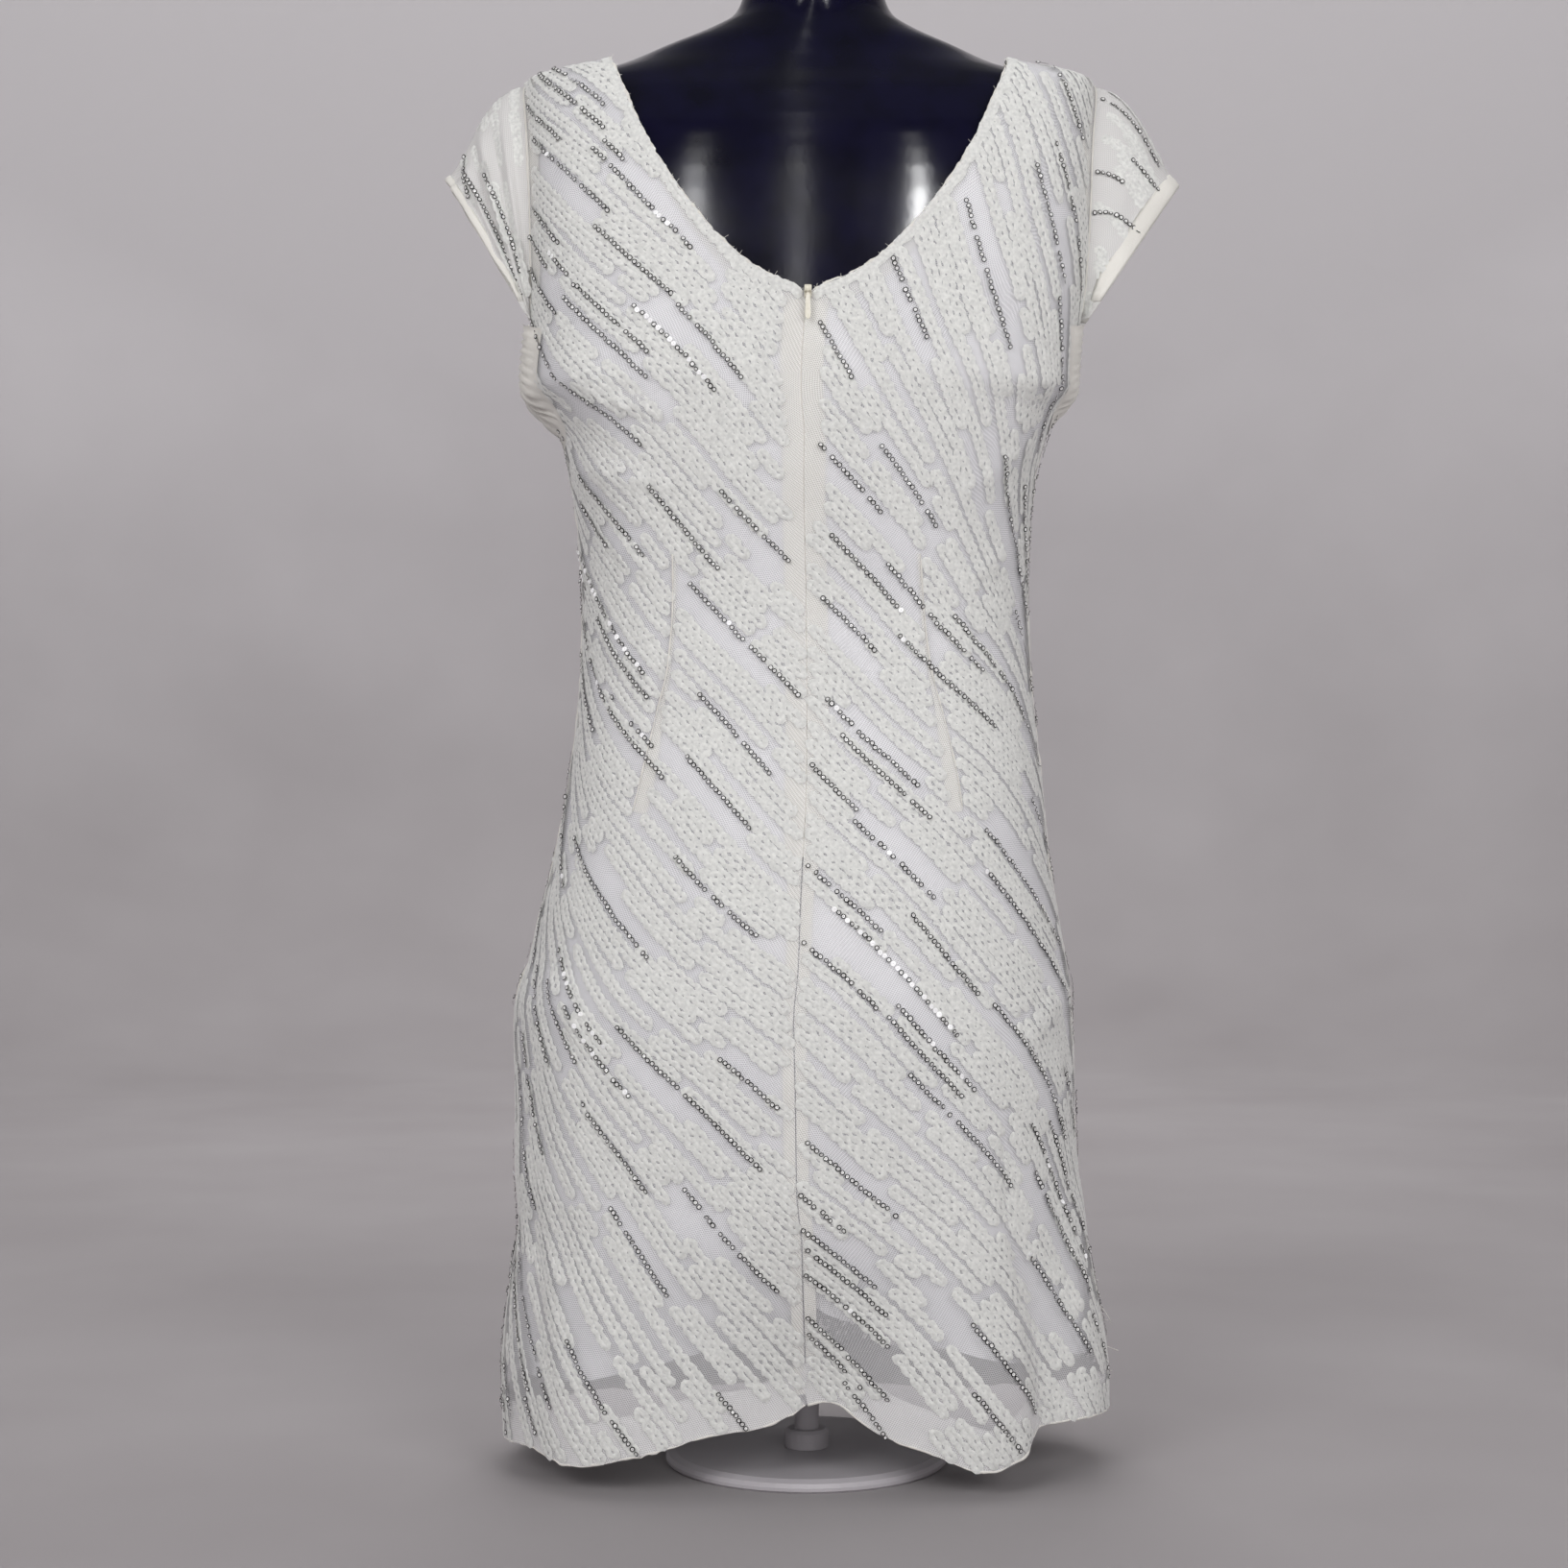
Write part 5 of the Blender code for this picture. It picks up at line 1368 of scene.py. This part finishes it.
def beaded(points, normals, first=0.0, last=1.0):  # places along a line, at the sequins' own pitch
    run = runAlong(points)
    at = np.arange(first * run[-1], last * run[-1], sequin["pitch"])
    at = at[chance.random(len(at)) > sequin["missing"]]
    at = at + chance.normal(0, sequin["jitter"], at.shape)
    return readAlong(at, run, points), readAlong(at, run, normals)


def sequinRow(line, aside, first, last):
    points, normals, _ = lineOnCloth(line)
    stray = sequin["stray"] * (lumpy(len(points), 1.0, 0.8) - 1)[:, None]
    return beaded(points + sideways(points, normals) * (aside + stray), normals, first, last)


def addRow(found, row):  # rows keep clear of one another
    others = np.concatenate([f[0] for f in found]) if found else np.full((1, 3), -1e4)
    gap = np.linalg.norm(others[:, None] - row[0][None], axis=-1).min(0) if len(row[0]) else np.zeros(0)
    kept = gap > sequin["apart"]
    if kept.sum() > sequin["fewest"]:
        found.append(tuple(t[kept] for t in row))


for name, (first, last) in panelSpan.items():
    found = []
    for place, widths in streaks[name]:
        middle, reach = chance.uniform(*sequin["inStreakMiddle"]), chance.uniform(*sequin["inStreakReach"])
        start, stop = max(0.02, middle - reach), min(0.98, middle + reach)
        side = chance.choice([-1, 1])
        aside = side * chance.uniform(*sequin["inStreakAside"]) * widths.max()
        addRow(found, sequinRow(place, aside, start, stop))
    target, tries = round(len(found) * sequin["rowsPerStreak"]), 0
    while len(found) < target and tries < sequin["tries"]:
        tries += 1
        a, z = chance.uniform(first, last), chance.uniform(30, 895)
        if not inside(name, a, z) or bare[cellOf(a, z)] < sequin["clearOfBare"]:
            continue
        line = trace(name, a, z, chance.uniform(*sequin["reach"], 2), None)
        if len(line) > sequin["shortest"]:
            addRow(found, sequinRow(np.array(line), 0.0, 0.0, 1.0))
    centres, normals = (np.concatenate([f[k] for f in found]) for k in (0, 1))
    normals = unit(normals)
    # a tenth of the rows, and a few lone sequins, get the painted glint
    paintedGlintLines = np.concatenate([np.full(len(f[0]), chance.random() < sequin["paintedGlintRows"]) for f in found])
    inRow, alone = chance.random(len(centres)), chance.random(len(centres))
    paintedGlint = paintedGlintLines & (inRow < sequin["paintedGlintInRow"]) | (alone < sequin["paintedGlintAlone"])
    onNet[name].append(sequinPiece("sequins" + name, centres + normals * sequin["lift"], normals, paintedGlint))
    print("sequins", name, len(found), "lines", len(centres))

# start and stop round the sleeve, from the back, then start and stop from its seam to its hem
sleeveLines = {
    "left": [
        (0.05, 0.40, 0.62, 0.80), (0.09, 0.30, 0.36, 0.52), (0.30, 0.44, 0.86, 0.72),
        (0.6, 0.88, 0.5, 0.6), (0.55, 0.75, 0.25, 0.3),
    ],
    "right": [
        (0.44, 0.40, 0.05, 0.75), (0.28, 0.27, 0.05, 0.4), (0.33, 0.33, 0.42, 0.9),
        (0.2, 0.2, 0.05, 0.9), (0.62, 0.6, 0.1, 0.8), (0.78, 0.8, 0.1, 0.75),
    ],
}
sleeveCords = {
    "apart": 0.13, "pitch": 7.6, "kept": 0.62,  # the left sleeve's, which hang along its folds
    "slanting": 34, "missing": 0.14, "shortest": 12, "aside": 1.8,
}


def acrossSleeve(grid, normals, start, stop, low, high, count=30):  # a line from seam to hem
    v = np.linspace(start, stop, count) * (grid.shape[1] - 1)
    u = np.linspace(low, high, count) * (grid.shape[0] - 1)
    i, j = u.astype(int), v.astype(int)
    f, g = (u - i)[:, None], (v - j)[:, None]
    low, high = ([(1 - g) * t[k, j] + g * t[k, j + 1] for t in (grid, normals)] for k in (i, i + 1))
    points, normal = ((1 - f) * low[n] + f * high[n] for n in (0, 1))
    return points, unit(normal)


for name in ("left", "right"):
    title, flip = name.capitalize(), sleeveCut[name]["side"] > 0
    grid = sleeveSurface(name)
    normals = gridNormals(grid, flip)
    length = np.linalg.norm(grid[-1] - grid[0], axis=1)
    places = []
    if name == "left":  # cords hang along the folds
        for start in np.arange(0.04, 0.9, sleeveCords["apart"]):
            room = np.interp(start + 0.06, np.linspace(0, 1, len(length)), length)
            lines = max(1, int(room / sleeveCords["pitch"]))
            for k in range(lines):
                aside = 0.04 + 0.84 * (k + 0.5) / lines
                shift, stretch = chance.uniform(-0.04, 0.04), chance.uniform(0.07, 0.14)
                if chance.random() < sleeveCords["kept"]:
                    begin, stop = max(start + shift, 0.03), min(start + shift + stretch, 0.97)
                    places.append((begin, stop, aside, aside))
    else:  # cords slant from the seam to the hem, with gaps
        for start in np.linspace(0.05, 0.95, sleeveCords["slanting"]):
            low, high = chance.uniform(0.03, 0.3), chance.uniform(0.55, 0.8)
            places.append((start, start - 0.04 * (1 if start < 0.5 else -1), low, high))
    fingers = []
    for place in places:
        points, normal = acrossSleeve(grid, normals, *place)
        if runAlong(points)[-1] < sleeveCords["shortest"] or chance.random() < sleeveCords["missing"]:
            continue
        phases = 2 * math.pi * np.linspace(0, 34, len(points)) / embroidery["waveLength"]
        fingers.append(finger(points, normal, phases + chance.uniform(0, 6), sleeveCords["aside"]))
    cords = crisp(meshPiece("cordsSleeve" + title, *joinedParts(fingers), cordMaterial, slot="net"))
    found = [beaded(*acrossSleeve(grid, normals, *row)) for row in sleeveLines[name]]
    centres, normal = (np.concatenate([f[k] for f in found]) for k in (0, 1))
    # a few sleeve sequins get the painted glint
    paintedGlint = chance.random(len(centres)) < sequin["paintedGlintOnSleeve"]
    beads = sequinPiece("sequinsSleeve" + title, centres + unit(normal), unit(normal), paintedGlint)
    wide, tall, area = sleeveCut[name]["flat"]
print("embroidered")

# the form

form = {"bottom": 176.0, "round": 12.0, "top": 992.0, "layers": 3.0, "columns": 128}


# Moulded plastic torso: glossy navy black skin with a slight orange peel and fine handling marks.
def makeFormPlastic():
    material, shader = mottled("mouldedPlasticNavy", "#0a0a1c", 0.12, (30, "#080818", "#0d0c24"),
                               (4, 0.05, 0.3), {"Specular IOR Level": 0.17})
    clouds = noise(material, objectPlace(material), 45, 4.0)
    smears = addNode(material, "MapRange", None, {0: clouds, 1: 0.4, 2: 0.7, 3: 0.1, 4: 0.14})
    material.node_tree.links.new(smears.outputs[0], shader.inputs["Roughness"])
    return material


angle = np.radians(np.linspace(-90, 270, form["columns"], endpoint=False))
start = form["bottom"] + form["round"]
rings = []
for turn in np.linspace(0, 1, 5)[:-1]:
    inset = form["round"] * (1 - math.sqrt(1 - (1 - turn) ** 2))
    rings.append((form["bottom"] + form["round"] * turn, start, inset))
levels = np.concatenate([np.linspace(start, 880, 84), np.linspace(884, form["top"], 40)])
rings += [(level, level, 0) for level in levels]
points = []
for level, read, inset in rings:
    readAt = np.full(angle.shape, float(read))
    ring = bodySurface(angle, readAt)
    ring = ring - outward(bodySurface, angle, readAt) * (form["layers"] + section("ease", read) + inset)
    if level != read or level == form["top"]:
        ring[:, 2] = level
    points.append(ring)
points = np.array(points)
middles = np.array([points[0].mean(0), points[-1].mean(0)])
middles[:, 2] = form["bottom"], form["top"]
# the two ends are closed by rings that draw in to their middles
drawIn = (0.02, 0.35, 0.7)
capped = [middles[0] + (points[0] - middles[0]) * s for s in drawIn]
capped += list(points)
capped += [middles[1] + (points[-1] - middles[1]) * s for s in drawIn[::-1]]
columns = form["columns"]
faces = gridFaces(len(capped), columns, False, True).tolist()
faces.append(list(range(columns))[::-1])
faces.append([(len(capped) - 1) * columns + k for k in range(columns)])
formTorso = meshPiece("formTorso", np.array(capped).reshape(-1, 3), faces, makeFormPlastic(), slot="form")
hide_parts("form_torso")
print("form built")


# finishes of the CAD pieces that stay


# Steel cap and socket, turned and brushed round their axis.
def makeSteel():
    material, shader = newMaterial("steelBrushed", "#b4b5b9", 0.3, {"Metallic": 1.0})
    place = addNode(material, "Mapping", None, {"Vector": objectPlace(material), "Scale": (1, 1, 14)})
    lines = noise(material, place.outputs[0], 6, 4.0)
    rough = addNode(material, "MapRange", None, {0: lines, 3: 0.24, 4: 0.42})
    material.node_tree.links.new(rough.outputs[0], shader.inputs["Roughness"])
    bumped(material, shader, lines, 0.02, 0.4)
    return material


# Die-cast zinc slider and tab under cream enamel, a little uneven where it pooled.
enamel, _ = mottled("zincCastEnamelled", "#e3decb", 0.35, (3, "#ddd8c4", "#e9e5d6"), (2, 0.05, 0.4),
                    {"Coat Weight": 0.3})
# Spun and welded steel stand under pale grey satin powder coat.
standPaint, _ = mottled("steelPowderCoated", "#b9b5b9", 0.5, (60, "#b5b1b5", "#bdb9bd"), (1.6, 0.05, 0.35))
for material, nodes in (
    (enamel, ["zip_slider", "zip_pull"]),
    (makeSteel(), ["form_neck_cap", "form_socket"]),
    (standPaint, ["stand_pole", "stand_collar", "stand_base"]),
):
    for node in nodes:
        for held in bpy.data.objects[node].material_slots:
            held.material = material

for name, panel in panels.items():
    wide, tall, area = panel["flat"]
    wide, tall, area = panel["liningFlat"]

# the room, its light and the camera

room = {"floor": 2400.0, "wall": 3300.0, "bend": 900.0, "high": 4200.0}
profile = [(1.0, 0.0), (700.0, 0.0), (room["floor"], 0.0)]
for turn in np.linspace(0, math.pi / 2, 13)[1:]:
    profile.append((room["floor"] + room["bend"] * math.sin(turn), room["bend"] * (1 - math.cos(turn))))
profile.append((room["wall"], room["high"]))
turn = np.linspace(0, 2 * math.pi, 96, endpoint=False)
points = np.array([[(r * math.cos(t), r * math.sin(t), z) for t in turn] for r, z in profile])
# Painted plaster: a smooth rolled coat, with painted shade that darkens it towards the floor and pales it up
# the wall, and soft uneven clouds.
plaster, plasterShader = newMaterial("plasterShadedTowardsFloor", "#bfbbc0", 0.9)
place = objectPlace(plaster)
height = addNode(plaster, "SeparateXYZ", None, {0: place}).outputs[2]
# painted shade: darker at the floor, paling up to 1.6 m up the wall
rise = addNode(plaster, "MapRange", {"interpolation_type": "SMOOTHSTEP"}, {
    0: height, 1: 0.0, 2: 1.6, 3: 0.1, 4: 0.9,
})
clouds = noise(plaster, place, 420, 3.0)
paintedShadeAndClouds = addNode(plaster, "Math", {"operation": "MULTIPLY_ADD"}, {0: clouds, 1: 0.35, 2: rise.outputs[0]})
tinted(plaster, plasterShader, paintedShadeAndClouds.outputs[0], "#8d8889", "#c9c6c8", 0.05, 1.0)
bumped(plaster, plasterShader, noise(plaster, place, 3, 2.0), 0.1, 0.3)
meshPiece("roomBowl", points.reshape(-1, 3), gridFaces(len(profile), 96, True, True), plaster, stage=True)

world = bpy.data.worlds.new("softRoom")
bpy.context.scene.world = world
world.use_nodes = True
world.node_tree.nodes["Background"].inputs[0].default_value = linear("#efeeef")
world.node_tree.nodes["Background"].inputs[1].default_value = 0.38


def softLight(name, place, target, wide, tall, power, strip=False):
    light = bpy.data.lights.new(name, "AREA")
    light.shape = "RECTANGLE"
    light.size, light.size_y, light.energy = wide, tall, power
    lamp = bpy.data.objects.new(name, light)
    bpy.context.scene.collection.objects.link(lamp)
    lamp.location = place
    lamp.rotation_euler = (Vector(target) - Vector(place)).to_track_quat("-Z", "Y").to_euler()
    lamp.visible_glossy = strip  # the strips are seen only as shine, the others only light
    lamp.visible_diffuse = not strip


for light in (  # name, place, what it looks at, width, height and power
    ("overheadLeft", (-1.5, -2.7, 1.95), (0, 0, 0.3), 1.6, 1.2, 49.5),
    ("overheadRight", (1.5, -2.6, 1.55), (0, 0, 0.2), 1.4, 1.2, 35),
    ("frontFill", (0.0, 2.4, 2.3), (0, 0, 0.5), 1.8, 1.2, 30),
    ("wallWash", (0.0, 0.9, 3.4), (0, 3.2, 1.7), 3.0, 0.8, 38),
):
    softLight(*light)
# tall windows that show as shine down the form's back: x, width, watts per square metre, and how
# they fade upwards
windows = {
    "Left": (-0.62, 0.16, 102, (1.0, 0.55, 0.22, 0.08)),
    "Middle": (-0.03, 0.06, 38, (1.0, 0.9, 0.55, 0.25)),
    "Right": (0.61, 0.1, 330, (1.0, 0.5, 0.15, 0.05)),
}
paneEdges = (0.9, 1.75, 2.1, 2.45, 2.8)
for side, (x, wide, strength, fades) in windows.items():
    for low, high, fade in zip(paneEdges[:-1], paneEdges[1:], fades):
        power, z = strength * fade * wide * (high - low), 0.5 * (low + high)
        place, target = (x, -2.4, z), (x * 0.2, 0, z)
        softLight(f"window{side}{round(low * 100)}", place, target, wide, high - low, power, True)
skylights = ((-2.35, 3.1, 0.8, 0.7), (-1.8, 3.75, 1.1, 0.45), (-0.8, 4.1, 1.2, 0.25))
for number, (y, z, tall, power) in enumerate(skylights):
    softLight(f"skylight{number}", (-0.03, y, z), (0, 0, 0.85), 0.06, tall, power, True)

view = {"place": (-0.0148, -1.8, 0.441), "lensPixels": 2866, "framePixels": 1633, "sensor": 36}
camera = bpy.data.cameras.new("camera")
camera.lens = view["lensPixels"] / view["framePixels"] * view["sensor"]
camera.sensor_width = view["sensor"]
viewer = bpy.data.objects.new("camera", camera)
bpy.context.scene.collection.objects.link(viewer)
viewer.location = view["place"]
viewer.rotation_euler = (math.pi / 2, 0, 0)
bpy.context.scene.camera = viewer
bpy.context.scene.view_settings.view_transform = "Standard"
print("room lit")

counts = {piece.name: sum(len(f.vertices) - 2 for f in piece.data.polygons)
          for piece in bpy.context.scene.objects if piece.type == "MESH"}
print("triangles in all", sum(counts.values()), "most", sorted(counts.items(), key=lambda row: -row[1])[:8])

low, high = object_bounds()
